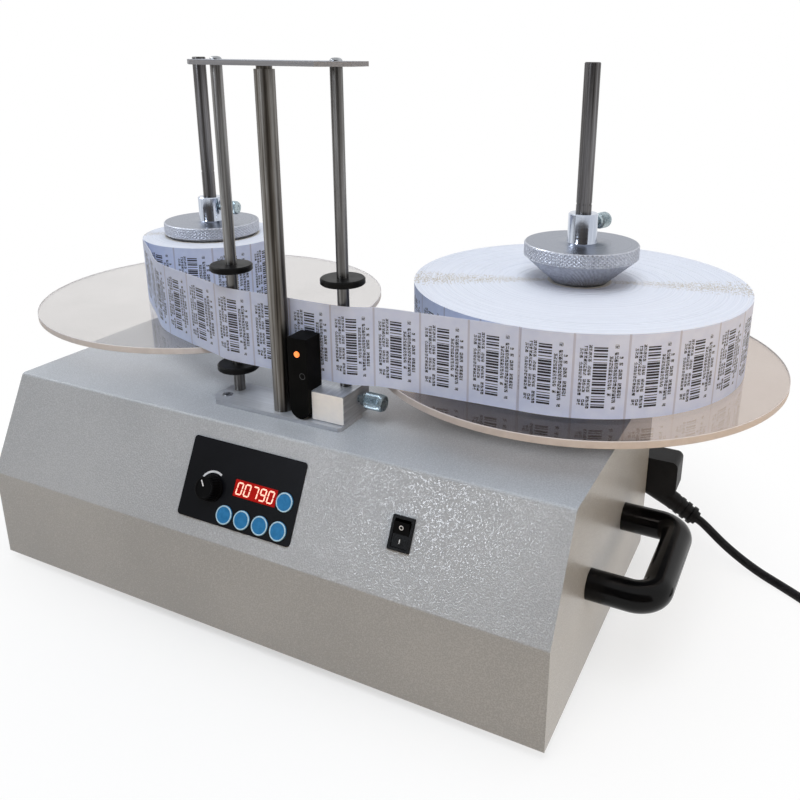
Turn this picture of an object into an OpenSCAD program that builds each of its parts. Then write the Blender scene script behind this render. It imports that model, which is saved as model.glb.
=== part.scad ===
// Label rewinder. A web of labels runs from the supply roll on the left, through a guide with a
// counting sensor, to the take-up roll on the right, which a gear motor turns through a belt.
// Millimetres, +X to the right, +Y to the back, +Z up. The origin is on the table, under the
// middle of the box that holds the machine without its mains lead.

/* [Housing] */
// Width of the housing
body_w = 450; // [430:5:500]
// Depth of the housing
body_d = 240; // [232:2:280]
// Height of the housing without its feet
body_h = 140; // [132:1:160]
// Height of the upright lower front
crease_h = 70; // [58:1:76]
// How far the sloped face leans back
slope_run = 36; // [28:1:42]
// Thickness of the housing sheet
sheet_t = 1.5; // [1.2:0.1:2]
// Outer radius of the bends
bend_r = 3; // [2.5:0.5:5]
// Width of the inward returns at the foot of the walls
return_w = 14; // [12:1:20]
// Thickness of the base plate
base_t = 1.5; // [1.2:0.1:2.5]
// Diameter of a rubber foot
foot_d = 28; // [20:1:34]
// Height of a rubber foot
foot_h = 8; // [6:1:12]
// Distance of a foot's centre from the walls
foot_inset = 40; // [34:1:60]

/* [Spindles] */
// Distance of the spindles from the back
spindle_back = 37; // [36:1:60]
// Diameter of a spindle
spindle_d = 11; // [10:0.5:12]
// Height of a spindle's top above the housing
spindle_h = 236; // [220:2:260]
// Height of a spindle's ring groove above the housing
spindle_ring_z = 140; // [138:1:160]
// Diameter of a disc
disc_d = 300; // [270:2:310]
// Gap between the two discs
disc_gap = 40; // [36:1:60]
// Thickness of a disc
disc_t = 5; // [4:0.5:8]
// Height of a disc's underside above the housing
disc_z = 25; // [22:1:28]
// Diameter of the flange that carries a disc
hub_flange_d = 100; // [88:2:120]
// Thickness of the flange that carries a disc
hub_flange_t = 5; // [4:0.5:8]
// Diameter of the hub's boss under the flange
hub_boss_d = 30; // [24:1:40]
// How far the hub stands into a core
hub_spigot_h = 6; // [4:1:10]
// Outer diameter of a spindle bearing
bearing_d = 28; // [26:1:32]
// Thickness of a spindle bearing
bearing_t = 8; // [7:0.5:10]
// Diameter of the bearing housing's flange
bearing_flange_d = 70; // [60:1:84]
// Thickness of the bearing housing's flange
bearing_flange_t = 6; // [5:0.5:8]
// Diameter of the bearing housing below the sheet
bearing_body_d = 43.5; // [40:0.5:50]
// Depth of the bearing housing below the sheet's outer face
bearing_depth = 32; // [28:1:38]

/* [Rolls and web] */
// Height of the label web and of the rolls
label_h = 55; // [40:1:58]
// Diameter of the take-up roll
takeup_roll_d = 240; // [160:2:244]
// Diameter of the supply roll
supply_roll_d = 119; // [96:1:180]
// Bore of the take-up roll's core
takeup_core_d = 40; // [36:1:60]
// Bore of the supply roll's core
supply_core_d = 76; // [60:1:78]
// Wall of a core
core_wall = 3; // [2:0.5:5]
// Thickness of the web
web_t = 0.3; // [0.2:0.05:0.5]
// How far the web sags between the discs
web_dip = 3; // [0:0.5:3]

/* [Clamping cones] */
// Diameter of a cone's knurled rim
cone_d = 82; // [80:1:96]
// Height of the knurled rim
cone_rim_h = 9.5; // [6:0.5:14]
// Height of the cone under the rim
cone_h = 22; // [18:1:28]
// Diameter of the cone's lower end
cone_nose_d = 32; // [26:1:36]
// Diameter of the cone's collar
cone_collar_d = 21; // [18:0.5:26]
// Height of the cone's collar
cone_collar_h = 21; // [16:1:26]
// Diameter of a clamp screw's shank
clamp_d = 5; // [4:0.5:6]
// Diameter of a clamp screw's head
clamp_head_d = 11.5; // [9:0.5:14]
// Length of a clamp screw's head
clamp_head_l = 12; // [8:1:16]
// Length of shank that shows between the collar and the head
clamp_reach = 6; // [3:0.5:8]

/* [Web guide] */
// Middle of the guide, from the middle of the housing
guide_x = -1.5; // [-10:0.5:10]
// Distance between the two guide rods
rod_gap = 93; // [90:1:110]
// Diameter of a guide rod
rod_d = 8; // [7:0.5:9]
// How far the guide rods stand in front of the spindles
rod_reach = 121; // [118:0.5:126]
// Diameter of the guide post
post_d = 13; // [10:0.5:14]
// How far the guide post stands in front of the rods
post_reach = 14.4; // [14:0.2:16]
// Place of the guide post, right of the guide's middle
post_x = 3.4; // [0:0.2:5]
// Height of the rods above the guide's base plate
rod_h = 230; // [200:2:250]
// Thickness of the guide's two plates
plate_t = 3; // [2.5:0.5:4]
// Length of the guide's base plate
guide_base_w = 113; // [112:1:130]
// Length of the tie plate
tie_w = 126; // [112:1:140]
// Depth of both plates
plate_d = 35.5; // [34:0.5:44]
// How far both plates reach in front of the post's axis
plate_front = 10.1; // [8:0.1:12]
// Chamfer of the base plate's corners
plate_chamfer = 8; // [4:0.5:10]
// Chamfer of the tie plate's front corners
tie_chamfer = 16; // [8:1:17]
// Diameter of a web collar
ring_d = 30; // [24:1:32]
// Thickness of a web collar
ring_t = 4.5; // [3:0.5:5]
// Height of the upper collars above the housing
ring_upper_z = 94; // [90:1:120]
// Height of the lower left collar above the housing
ring_lower_z = 19.5; // [19:0.5:20]

/* [Sensor] */
// Width of the sensor's clamping block
block_w = 25.5; // [24:0.5:30]
// Depth of the clamping block
block_d = 33; // [30:1:38]
// Height of the clamping block
block_h = 20.7; // [14:0.1:22]
// How far the block stands right of the rod's axis
block_right = 10.5; // [8:0.5:14]
// How far the block stands in front of the rod's axis
block_front = 20; // [16:0.5:24]
// Width of the sensor
sensor_w = 15; // [10:0.5:16]
// Depth of the sensor
sensor_d = 16.5; // [12:0.5:17]
// Height of the sensor
sensor_h = 58; // [45:1:64]
// Length of the sensor's thumb screw head
thumb_l = 17; // [10:1:22]
// Diameter of the sensor's thumb screw head
thumb_d = 12; // [10:0.5:14]

/* [Control panel] */
// Width of the panel
panel_w = 93; // [90:1:110]
// Height of the panel
panel_h = 54.5; // [52:0.5:60]
// Place of the panel, right of the middle
panel_x = 1.5; // [-60:0.5:30]
// Place of the panel's middle, up the sloped face
panel_u = 39; // [36:0.5:42]
// Thickness of the panel's overlay
panel_t = 0.8; // [0.5:0.1:1.5]
// Corner radius of the panel
panel_r = 2.5; // [1:0.5:5]
// Depth of the control board behind the face
board_depth = 8; // [7:0.5:12]
// Diameter of a key
key_d = 12.6; // [10:0.2:13]
// Distance between the keys
key_pitch = 14.6; // [14.4:0.1:15.5]
// Travel of a key
key_travel = 0.5; // [0.3:0.1:0.8]
// How far a key stands out of the overlay
key_rise = 0.9; // [0.6:0.1:2]
// Width of the display
display_w = 34; // [24:0.5:34]
// Height of the display
display_h = 11; // [8:0.5:14]
// Diameter of the speed knob
knob_d = 18; // [14:0.5:20]
// Height of the speed knob
knob_h = 9; // [8:0.5:16]
// Diameter of the knob's shaft
knob_shaft_d = 6; // [5:0.5:6.5]
// Place of the rocker switch, right of the middle
rocker_x = 123; // [90:1:180]
// Place of the rocker switch, up the sloped face
rocker_u = 39.6; // [30:0.2:50]
// Width of the rocker switch's bezel
rocker_w = 15; // [14.5:0.5:18]
// Height of the rocker switch's bezel
rocker_h = 21; // [20.5:0.5:26]
// Tilt of the rocker to each side
rocker_tilt = 9; // [6:1:10]

/* [Handles] */
// Diameter of a handle's bar
handle_d = 20; // [16:0.5:24]
// Distance between a handle's legs
handle_gap = 88; // [80:1:130]
// Reach of a handle's bar from the wall
handle_reach = 40; // [36:1:55]
// Height of the handles above the foot of the housing
handle_z = 66; // [40:1:90]
// Distance of the handles' middle from the front
handle_y = 119; // [100:1:140]
// Bend radius of a handle's bar
handle_r = 14; // [13:0.5:20]
// Diameter of a handle screw
handle_screw_d = 5; // [4:0.5:6]

/* [Drive] */
// Distance from the motor's shaft to the take-up spindle
belt_reach = 110; // [100:1:140]
// Turn of the belt's run, from the line between the spindles
belt_lean = 15; // [12:1:30]
// Diameter of the spindle's pulley
spindle_pulley_d = 60; // [50:1:62]
// Diameter of the motor's pulley
motor_pulley_d = 30; // [24:1:36]
// Width of the pulleys
pulley_w = 16; // [12:1:20]
// Width of the belt
belt_w = 10; // [6:0.5:11]
// Thickness of the belt
belt_t = 1.5; // [1:0.1:2]
// Diameter of the motor's shaft
motor_shaft_d = 8; // [6:0.5:10]
// Side of the square gear case
gear_case_w = 64; // [56:1:72]
// Height of the gear case
gear_case_h = 28; // [24:1:34]
// Diameter of the motor's can
motor_d = 58; // [50:1:62]

/* [Mains lead] */
// Diameter of the cord
cord_d = 7; // [6:0.5:7]
// Distance of the mains inlet from the right wall
inlet_inset = 20; // [18:1:60]
// Height of the mains inlet above the foot of the housing
inlet_z = 60; // [40:1:80]

/* [Clearances] */
// Radial running fit of shafts, pins and sliding bores
fit = 0.05; // [0.02:0.01:0.1]
// Gap between pieces that don't touch
air = 0.3; // [0.25:0.05:0.5]
// Gap under a turning hub
run_gap = 0.5; // [0.3:0.1:1]
// Clearance of screws in their holes
screw_gap = 0.2; // [0.1:0.05:0.4]

/* [Hidden] */
$fn = 96;
over = 1;

spindle_gap = disc_d + disc_gap;
spindle_y = body_d - spindle_back;
rod_y = spindle_y - rod_reach;
post_y = rod_y - post_reach;
plate_y = post_y - plate_front;

top_z = foot_h + body_h;
front_y = -(spindle_y + disc_d / 2) / 2;
back_y = front_y + body_d;
axis_y = front_y + spindle_y;
takeup_x = spindle_gap / 2;
supply_x = -spindle_gap / 2;
spindle_r = spindle_d / 2;
disc_top_z = top_z + disc_z + disc_t;
roll_top_z = disc_top_z + label_h;

pulley_top_z = top_z - bearing_depth - 6;
pulley_z = pulley_top_z - pulley_w;
shaft_foot_z = pulley_z - 3;
motor_x = takeup_x - belt_reach * cos(belt_lean);
motor_y = axis_y - belt_reach * sin(belt_lean);
floor_z = foot_h + base_t;
gear_case_z = pulley_z - 4;

rod_left_x = guide_x - rod_gap / 2;
rod_right_x = guide_x + rod_gap / 2;
rod_axis_y = front_y + rod_y;
post_axis_x = guide_x + post_x;
post_axis_y = front_y + post_y;
guide_z = top_z + plate_t;
tie_z = guide_z + rod_h;
web_y = (post_axis_y + post_d / 2 + rod_axis_y - rod_d / 2) / 2;
web_z = disc_top_z + air;
block_z = guide_z + air;
block_x = rod_right_x + block_right - block_w;
thumb_z = block_z + block_h * 0.6;

handle_mid_y = front_y + handle_y;
slope_len = norm([slope_run, body_h - crease_h]);
slope_tilt = atan2(body_h - crease_h, slope_run);
// Places on the panel, from its middle: the keys, the display and the speed knob
key_first = [-7.9, -19.4];
key_last = [36, -0.6];
display_at = [12, -0.1];
knob_at = [-22.5, -4.8];
function key_at(i) = i < 4 ? key_first + [i * key_pitch, 0] : key_last;

function unit(v) = v / norm(v);
function right_of(v) = [v[1], -v[0]];
function turned(v, a) = [v[0] * cos(a) - v[1] * sin(a), v[0] * sin(a) + v[1] * cos(a)];
function meet(p, u, q, v) = p + u * cross(q - p, v) / cross(u, v);

// A clockwise outline with every edge moved inward
function inset(pts, d) = [
    for (i = [0 : len(pts) - 1])
        let (
            b = pts[i],
            u = unit(b - pts[(i + len(pts) - 1) % len(pts)]),
            v = unit(pts[(i + 1) % len(pts)] - b)
        )
        meet(b + right_of(u) * d, u, b + right_of(v) * d, v)
];

// A clockwise outline with its corners rounded, each to its own radius
function rounded(pts, radii, steps = 6) = [
    for (i = [0 : len(pts) - 1])
        let (
            b = pts[i],
            u = unit(b - pts[(i + len(pts) - 1) % len(pts)]),
            v = unit(pts[(i + 1) % len(pts)] - b),
            turn = acos(u * v),
            middle = b - u * radii[i] * tan(turn / 2) + right_of(u) * radii[i]
        )
        each radii[i] == 0
            ? [b]
            : [for (s = [0 : steps]) middle - turned(right_of(u), -turn * s / steps) * radii[i]]
];

// The housing's side outline: foot, crease, top and back
function case_outline(foot) = [
    [0, foot],
    [0, crease_h],
    [slope_run, body_h],
    [body_d, body_h],
    [body_d, foot]
];

// A smooth curve through the points of a route
function spline_at(p, i, t) =
    let (
        a = p[max(i - 1, 0)],
        b = p[i],
        c = p[i + 1],
        d = p[min(i + 2, len(p) - 1)]
    )
    b + t * (c - a) / 2 + t * t * (a - 2.5 * b + 2 * c - d / 2)
    + t * t * t * (1.5 * (b - c) + (d - a) / 2);
function spline(p, steps) = [
    for (i = [0 : len(p) - 2])
        for (s = [0 : steps - 1]) spline_at(p, i, s / steps),
    p[len(p) - 1]
];
function heading(path, i) = unit(path[min(i + 1, len(path) - 1)] - path[max(i - 1, 0)]);

// Rings of a round tube along a path
function tube_rings(path, r, sides) = [
    for (i = [0 : len(path) - 1])
        let (
            along = heading(path, i),
            side = unit(cross(along, [0, 0, 1])),
            up = cross(side, along)
        )
        [
            for (k = [0 : sides - 1])
                let (a = 360 * k / sides)
                path[i] + r * (cos(a) * side + sin(a) * up)
        ]
];

module skin(rings) {
    sides = len(rings[0]);
    last = len(rings) - 1;
    walls = [
        for (i = [0 : last - 1])
            for (k = [0 : sides - 1])
                let (a = i * sides + k, b = i * sides + (k + 1) % sides)
                each [[a, b, b + sides], [a, b + sides, a + sides]]
    ];
    foot = [for (k = [1 : sides - 2]) [0, k + 1, k]];
    head = [for (k = [1 : sides - 2]) [last * sides, last * sides + k, last * sides + k + 1]];
    polyhedron([for (ring = rings) each ring], concat(walls, foot, head), convexity = 8);
}

module along_x(w) {
    translate([-w / 2, front_y, foot_h])
        rotate([90, 0, 90])
            linear_extrude(w) children();
}

module on_slope(x, u) {
    share = u / slope_len;
    translate([x, front_y + slope_run * share, foot_h + crease_h + (body_h - crease_h) * share])
        rotate([slope_tilt, 0, 0]) children();
}

module on_panel(at) {
    on_slope(panel_x + at[0], panel_u + at[1]) children();
}

module at_spindle(x) {
    translate([x, axis_y, 0]) children();
}

module at_handle_screws() {
    for (side = [-1, 1])
        for (leg = [-1, 1])
            translate([side * (body_w / 2 - sheet_t), handle_mid_y + leg * handle_gap / 2, foot_h + handle_z])
                rotate([0, side * 90, 0]) children();
}

module slab(w, d, z0, z1) {
    translate([-w / 2, -d / 2, z0]) cube([w, d, z1 - z0]);
}

module rod(d, z0, z1) {
    translate([0, 0, z0]) cylinder(d = d, h = z1 - z0);
}

module tube(d_out, d_in, z0, z1) {
    difference() {
        rod(d_out, z0, z1);
        rod(d_in, z0 - over, z1 + over);
    }
}

// A flat plate with rounded corners
module rounded_slab(w, d, r, z0, z1) {
    slab(w - 2 * r, d, z0, z1);
    slab(w, d - 2 * r, z0, z1);
    for (x = [-1, 1])
        for (y = [-1, 1])
            translate([x * (w / 2 - r), y * (d / 2 - r), 0]) rod(2 * r, z0, z1);
}

// The head of a countersunk screw, or the room for one, below a face at height z
module countersink(d, z) {
    translate([0, 0, z - d / 2]) cylinder(d1 = d, d2 = 2 * d, h = d / 2);
}

// A cylinder with both rims broken by a small chamfer
module turned_pin(d, z0, z1, chamfer) {
    rotate_extrude()
        polygon([
            [0, z0], [d / 2 - chamfer, z0], [d / 2, z0 + chamfer],
            [d / 2, z1 - chamfer], [d / 2 - chamfer, z1], [0, z1]
        ]);
}

// Housing: one bent and welded sheet, open underneath, with returns for the base plate
base_screw_d = 4;
base_screw_xs = [-body_w / 2 + 30, 0, body_w / 2 - 30];
base_screw_in = sheet_t + return_w / 2;
base_screw_ys = [front_y + base_screw_in, back_y - base_screw_in];
inlet_x = body_w / 2 - inlet_inset;
inlet_body = [27, 20];
rocker_body = [rocker_w - 2.2, rocker_h - 2];
guide_screw_d = 4;
guide_screw_y = front_y + plate_y + 12.5;
guide_screw_xs = [rod_left_x - 1.6, rod_right_x + 1.6];
rod_spigot_d = rod_d - 2;
post_spigot_d = post_d - 3;

module housing() {
    inner = inset(case_outline(base_t), sheet_t);
    inner_r = bend_r - sheet_t;
    color("#a8adb5")
    difference() {
        along_x(body_w) polygon(rounded(case_outline(0), [0, bend_r, bend_r, bend_r, 0]));
        along_x(body_w - 2 * sheet_t) polygon(rounded(inner, [0, inner_r, inner_r, inner_r, 0]));
        translate([0, (front_y + back_y) / 2, 0]) {
            slab(body_w - 2 * sheet_t, body_d - 2 * sheet_t, foot_h - over, foot_h + base_t);
            slab(
                body_w - 2 * (sheet_t + return_w), body_d - 2 * (sheet_t + return_w),
                foot_h, floor_z + sheet_t + over
            );
        }
        for (x = base_screw_xs)
            for (y = base_screw_ys)
                translate([x, y, 0]) rod(base_screw_d + 2 * screw_gap, foot_h, floor_z + sheet_t + over);
        for (x = [supply_x, takeup_x])
            at_spindle(x) rod(bearing_body_d + 2 * air, top_z - 2 * sheet_t, top_z + over);
        for (x = [rod_left_x, rod_right_x])
            translate([x, rod_axis_y, 0]) rod(rod_spigot_d + 2 * fit, top_z - 2 * sheet_t, top_z + over);
        translate([post_axis_x, post_axis_y, 0])
            rod(post_spigot_d + 2 * fit, top_z - 2 * sheet_t, top_z + over);
        for (x = guide_screw_xs)
            translate([x, guide_screw_y, 0])
                rod(guide_screw_d + 2 * screw_gap, top_z - 2 * sheet_t, top_z + over);
        for (i = [0 : 4])
            on_panel(key_at(i)) rod(key_d + 2 * air, -3 * sheet_t, over);
        on_panel(display_at) slab(display_w + 2 * air, display_h + 2 * air, -3 * sheet_t, over);
        on_panel(knob_at) rod(knob_shaft_d + 2 * air, -3 * sheet_t, over);
        on_slope(rocker_x, rocker_u)
            slab(rocker_body[0] + 2 * air, rocker_body[1] + 2 * air, -3 * sheet_t, over);
        translate([inlet_x, back_y, foot_h + inlet_z])
            rotate([90, 0, 0]) slab(inlet_body[0] + 2 * air, inlet_body[1] + 2 * air, -over, 2 * sheet_t);
        at_handle_screws() rod(handle_screw_d + 2 * screw_gap, -over, sheet_t + over);
    }
}

module base_plate() {
    color("#8f949b")
    difference() {
        translate([0, (front_y + back_y) / 2, 0])
            slab(body_w - 2 * (sheet_t + air), body_d - 2 * (sheet_t + air), foot_h, floor_z);
        for (x = base_screw_xs)
            for (y = base_screw_ys)
                translate([x, y, 0]) rod(base_screw_d + 2 * screw_gap, foot_h - over, floor_z + over);
    }
}

module rubber_feet() {
    color("#1d1d1f")
    for (x = [-body_w / 2 + foot_inset, body_w / 2 - foot_inset])
        for (y = [front_y + foot_inset, back_y - foot_inset])
            translate([x, y, 0]) cylinder(d1 = foot_d - 4, d2 = foot_d, h = foot_h);
}

// Pan-head screws that hold the base plate from below and the handles from inside
pan_head_h = 2.4;
base_screw_l = base_t + sheet_t + 3;
handle_screw_l = 12;
module pan_screw(d, l) {
    rod(d, 0, l);
    turned_pin(2 * d, -pan_head_h, 0, 0.6);
}

module case_screws() {
    color("#9a9da1") {
        for (x = base_screw_xs)
            for (y = base_screw_ys)
                translate([x, y, foot_h]) pan_screw(base_screw_d, base_screw_l);
        at_handle_screws() pan_screw(handle_screw_d, handle_screw_l);
    }
}

// Carry handle: a bent round bar with two legs, drilled for its screws
module handle(side) {
    straight = handle_gap - 2 * handle_r;
    color("#111214")
    translate([side * body_w / 2, handle_mid_y, foot_h + handle_z])
        mirror([side < 0 ? 1 : 0, 0, 0]) {
            for (leg = [-1, 1])
                translate([0, leg * handle_gap / 2, 0])
                    rotate([0, 90, 0])
                        difference() {
                            rod(handle_d, 0, handle_reach - handle_r);
                            rod(handle_screw_d + 2 * screw_gap, -over, handle_screw_l);
                        }
            for (leg = [-1, 1])
                translate([handle_reach - handle_r, leg * straight / 2, 0])
                    mirror([0, leg < 0 ? 1 : 0, 0])
                        rotate_extrude(angle = 90) translate([handle_r, 0]) circle(d = handle_d);
            translate([handle_reach, -straight / 2, 0]) rotate([-90, 0, 0]) rod(handle_d, 0, straight);
        }
}
module handle_left() handle(-1);
module handle_right() handle(1);

// Control panel: a printed overlay glued to the sheet, with the board on standoffs behind it
module panel_overlay() {
    color("#15161a")
    on_panel([0, 0])
        difference() {
            rounded_slab(panel_w, panel_h, panel_r, 0, panel_t);
            for (i = [0 : 4])
                translate(key_at(i)) rod(key_d + 2 * air, -over, panel_t + over);
            translate(display_at) slab(display_w + 2 * air, display_h + 2 * air, -over, panel_t + over);
            translate(knob_at) rod(knob_shaft_d + 2 * air, -over, panel_t + over);
        }
}

module display_module() {
    color("#c2201c")
    on_panel(display_at) slab(display_w, display_h, -board_depth, panel_t);
}

key_flange_t = 1;
switch_w = 6;
key_foot = -sheet_t - air - key_flange_t;
pot_d = 16;
board_t = 1.6;
standoff_d = 5;
module control_board() {
    color("#2f6b4a")
    on_panel([0, 0]) {
        slab(panel_w + 4 * standoff_d, panel_h, -board_depth - board_t, -board_depth);
        for (x = [-1, 1])
            for (y = [-1, 1])
                translate([x * (panel_w / 2 + standoff_d), y * (panel_h / 2 - standoff_d), 0])
                    rod(standoff_d, -board_depth, -sheet_t);
        for (i = [0 : 4])
            translate(key_at(i)) {
                slab(switch_w, switch_w, -board_depth, -board_depth + 3.5);
                rod(3.5, -board_depth, key_foot - key_travel - fit);
            }
        translate(knob_at) {
            rod(pot_d, -board_depth - 9, -board_depth + 3);
            rod(knob_shaft_d, -board_depth, panel_t + knob_h - 2);
        }
    }
}

module panel_key(i) {
    color("#2f86d6")
    on_panel(key_at(i)) {
        turned_pin(key_d, key_foot, panel_t + key_rise, 0.4);
        rod(min(key_d + 1.4, key_pitch - 0.4), key_foot, key_foot + key_flange_t);
    }
}
module panel_key_1() panel_key(0);
module panel_key_2() panel_key(1);
module panel_key_3() panel_key(2);
module panel_key_4() panel_key(3);
module panel_key_5() panel_key(4);

module speed_knob() {
    foot = panel_t + air;
    head = panel_t + knob_h;
    color("#0c0c0e")
    on_panel(knob_at)
        difference() {
            rotate_extrude()
                polygon([
                    [0, foot], [knob_d / 2, foot], [knob_d / 2, foot + 1.5],
                    [knob_d / 2 - 1, head - 1], [knob_d / 2 - 2, head], [0, head]
                ]);
            rod(knob_shaft_d + 2 * fit, foot - over, head - 1.5);
        }
}

// Rocker switch: a bezel with a well, and a paddle on two pins
bezel_t = 1.6;
rocker_wall = 0.8;
rocker_pivot_z = -2;
rocker_pin_d = 2;
rocker_well = rocker_body - [2 * rocker_wall, 2 * rocker_wall];
rocker_depth = 16;
module rocker_bezel() {
    color("#17181a")
    on_slope(rocker_x, rocker_u)
        difference() {
            union() {
                rounded_slab(rocker_w, rocker_h, 0.8, 0, bezel_t);
                slab(rocker_body[0], rocker_body[1], -rocker_depth, 0);
            }
            slab(rocker_well[0], rocker_well[1], -rocker_depth + 4, bezel_t + over);
            translate([-rocker_w, 0, rocker_pivot_z])
                rotate([0, 90, 0]) rod(rocker_pin_d + 2 * fit, 0, 2 * rocker_w);
        }
}

module rocker() {
    half = rocker_well[1] / 2 - 0.9;
    paddle_w = rocker_well[0] - 2 * air;
    dish = half * tan(rocker_tilt);
    rim = 2.5;
    color("#0f1012")
    on_slope(rocker_x, rocker_u)
        translate([0, 0, rocker_pivot_z])
            rotate([rocker_tilt, 0, 0]) {
                translate([-paddle_w / 2, 0, 0])
                    rotate([90, 0, 90])
                        linear_extrude(paddle_w)
                            polygon([
                                [-half, rim - rocker_pivot_z], [0, rim - dish - rocker_pivot_z],
                                [half, rim - rocker_pivot_z], [half - 2, -3], [-half + 2, -3]
                            ]);
                rotate([0, 90, 0]) rod(rocker_pin_d, -rocker_body[0] / 2, rocker_body[0] / 2);
            }
}

// Mains inlet in the back wall, and the power supply on the base plate
inlet_flange = [31, 25];
inlet_flange_t = 2.5;
inlet_socket = [25, 17.5];
inlet_socket_depth = 14;
inlet_body_depth = 18;
inlet_socket_z = inlet_flange_t - inlet_socket_depth;
module at_inlet() {
    translate([inlet_x, back_y, foot_h + inlet_z]) rotate([90, 0, 180]) children();
}
module mains_inlet() {
    color("#1a1a1c")
    at_inlet()
        difference() {
            union() {
                rounded_slab(inlet_flange[0], inlet_flange[1], 3, 0, inlet_flange_t);
                slab(inlet_body[0], inlet_body[1], -inlet_body_depth, 0);
            }
            slab(inlet_socket[0], inlet_socket[1], inlet_socket_z, inlet_flange_t + over);
        }
}

supply_w = 110;
supply_d = 78;
supply_h = 36;
supply_inset = 60;
supply_ribs = 7;
supply_rib_w = 3;
supply_rib_h = 2;
module power_supply() {
    pitch = supply_w / (supply_ribs + 1);
    color("#b9bcc0")
    translate([supply_inset + (supply_w - body_w) / 2, back_y - (supply_inset + supply_d) / 2, 0]) {
        slab(supply_w, supply_d, floor_z, floor_z + supply_h);
        for (i = [1 : supply_ribs])
            translate([i * pitch - supply_w / 2, 0, 0])
                slab(supply_rib_w, supply_d - pitch, floor_z, floor_z + supply_h + supply_rib_h);
    }
}

// Spindle bearings in flanged housings that stand on the top sheet and reach through it
module bearing_housings() {
    bore_r = bearing_d / 2 + fit;
    shoulder_r = bearing_d / 2 - 3;
    color("#7c8087")
    for (x = [supply_x, takeup_x])
        at_spindle(x)
            translate([0, 0, top_z])
                rotate_extrude()
                    polygon([
                        [bore_r, bearing_flange_t], [bearing_flange_d / 2 - 1, bearing_flange_t],
                        [bearing_flange_d / 2, bearing_flange_t - 1], [bearing_flange_d / 2, 0],
                        [bearing_body_d / 2, 0], [bearing_body_d / 2, -bearing_depth],
                        [bore_r, -bearing_depth], [bore_r, -bearing_depth + bearing_t],
                        [shoulder_r, -bearing_depth + bearing_t],
                        [shoulder_r, bearing_flange_t - bearing_t], [bore_r, bearing_flange_t - bearing_t]
                    ]);
}

module spindle_bearings() {
    color("#c7c9cc")
    for (x = [supply_x, takeup_x])
        at_spindle(x)
            for (z = [top_z - bearing_depth, top_z + bearing_flange_t - bearing_t])
                tube(bearing_d, spindle_d + 2 * fit, z, z + bearing_t);
}

// Drive: a gear motor stands on the base plate, and a flat belt joins its pulley to the spindle's
motor_boss_d = 20;
motor_shaft_l = 15;
module gear_motor() {
    color("#55595f")
    translate([motor_x, motor_y, 0])
        difference() {
            union() {
                rod(motor_d, floor_z, gear_case_z - gear_case_h);
                rounded_slab(gear_case_w, gear_case_w, 6, gear_case_z - gear_case_h, gear_case_z);
                rod(motor_boss_d, gear_case_z, pulley_z - 1);
            }
            rod(motor_shaft_d + 2 * fit, pulley_z - motor_shaft_l, pulley_z);
        }
}

// A flat-belt pulley with a rim at each edge
module pulley(d, bore_d) {
    rim = (pulley_w - belt_w) / 2 - air;
    rotate_extrude()
        polygon([
            [bore_d / 2, 0], [d / 2 + belt_t, 0], [d / 2 + belt_t, rim], [d / 2, rim],
            [d / 2, pulley_w - rim], [d / 2 + belt_t, pulley_w - rim],
            [d / 2 + belt_t, pulley_w], [bore_d / 2, pulley_w]
        ]);
}

module motor_pulley() {
    color("#c2c5c9")
    translate([motor_x, motor_y, pulley_z]) {
        pulley(motor_pulley_d, motor_shaft_d / 2);
        rod(motor_shaft_d, -motor_shaft_l + 1, pulley_w);
    }
}

module takeup_pulley() {
    color("#c2c5c9")
    at_spindle(takeup_x) translate([0, 0, pulley_z]) pulley(spindle_pulley_d, spindle_d + 2 * fit);
}

// Outline of the belt loop at a given distance off the pulleys
module belt_outline(off) {
    big = spindle_pulley_d / 2 + off;
    small = motor_pulley_d / 2 + off;
    lean = asin((big - small) / belt_reach);
    circle(r = big);
    translate([-belt_reach, 0]) circle(r = small);
    polygon([
        [-big * sin(lean), big * cos(lean)],
        [-belt_reach - small * sin(lean), small * cos(lean)],
        [-belt_reach - small * sin(lean), -small * cos(lean)],
        [-big * sin(lean), -big * cos(lean)]
    ]);
}

module drive_belt() {
    color("#26272a")
    at_spindle(takeup_x)
        translate([0, 0, pulley_z + (pulley_w - belt_w) / 2])
            rotate([0, 0, belt_lean])
                linear_extrude(belt_w)
                    difference() {
                        belt_outline(air + belt_t);
                        belt_outline(air);
                    }
}

// Felt brake between the supply bearing and a collar on the supply spindle
felt_t = 4;
felt_d = [28, 42];
brake_collar_t = 8;
module brake_felt() {
    color("#6b5a45")
    at_spindle(supply_x) tube(felt_d[1], felt_d[0], top_z - bearing_depth - felt_t, top_z - bearing_depth);
}

module brake_collar() {
    head = top_z - bearing_depth - felt_t - air;
    color("#c2c5c9")
    at_spindle(supply_x) tube(felt_d[1] + 4, spindle_d + 2 * fit, head - brake_collar_t, head);
}

// Web guide: a base plate, two rods, a post and a tie plate over them
guide_half = guide_base_w / 2;
module guide_base() {
    c = plate_chamfer;
    w = guide_half;
    color("#b4b8bf")
    difference() {
        translate([guide_x, front_y + plate_y, top_z])
            linear_extrude(plate_t)
                polygon([
                    [-w + c, 0], [w - c / 4, 0], [w, c / 4], [w, plate_d - c], [w - c, plate_d],
                    [-w + c, plate_d], [-w, plate_d - c], [-w, c]
                ]);
        for (x = [rod_left_x, rod_right_x])
            translate([x, rod_axis_y, 0]) rod(rod_spigot_d + 2 * fit, top_z - over, guide_z + over);
        translate([post_axis_x, post_axis_y, 0]) rod(post_spigot_d + 2 * fit, top_z - over, guide_z + over);
        for (x = guide_screw_xs)
            translate([x, guide_screw_y, 0]) {
                rod(guide_screw_d + 2 * screw_gap, top_z - over, guide_z + over);
                countersink(guide_screw_d + 2 * screw_gap, guide_z + screw_gap);
            }
    }
}

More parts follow.
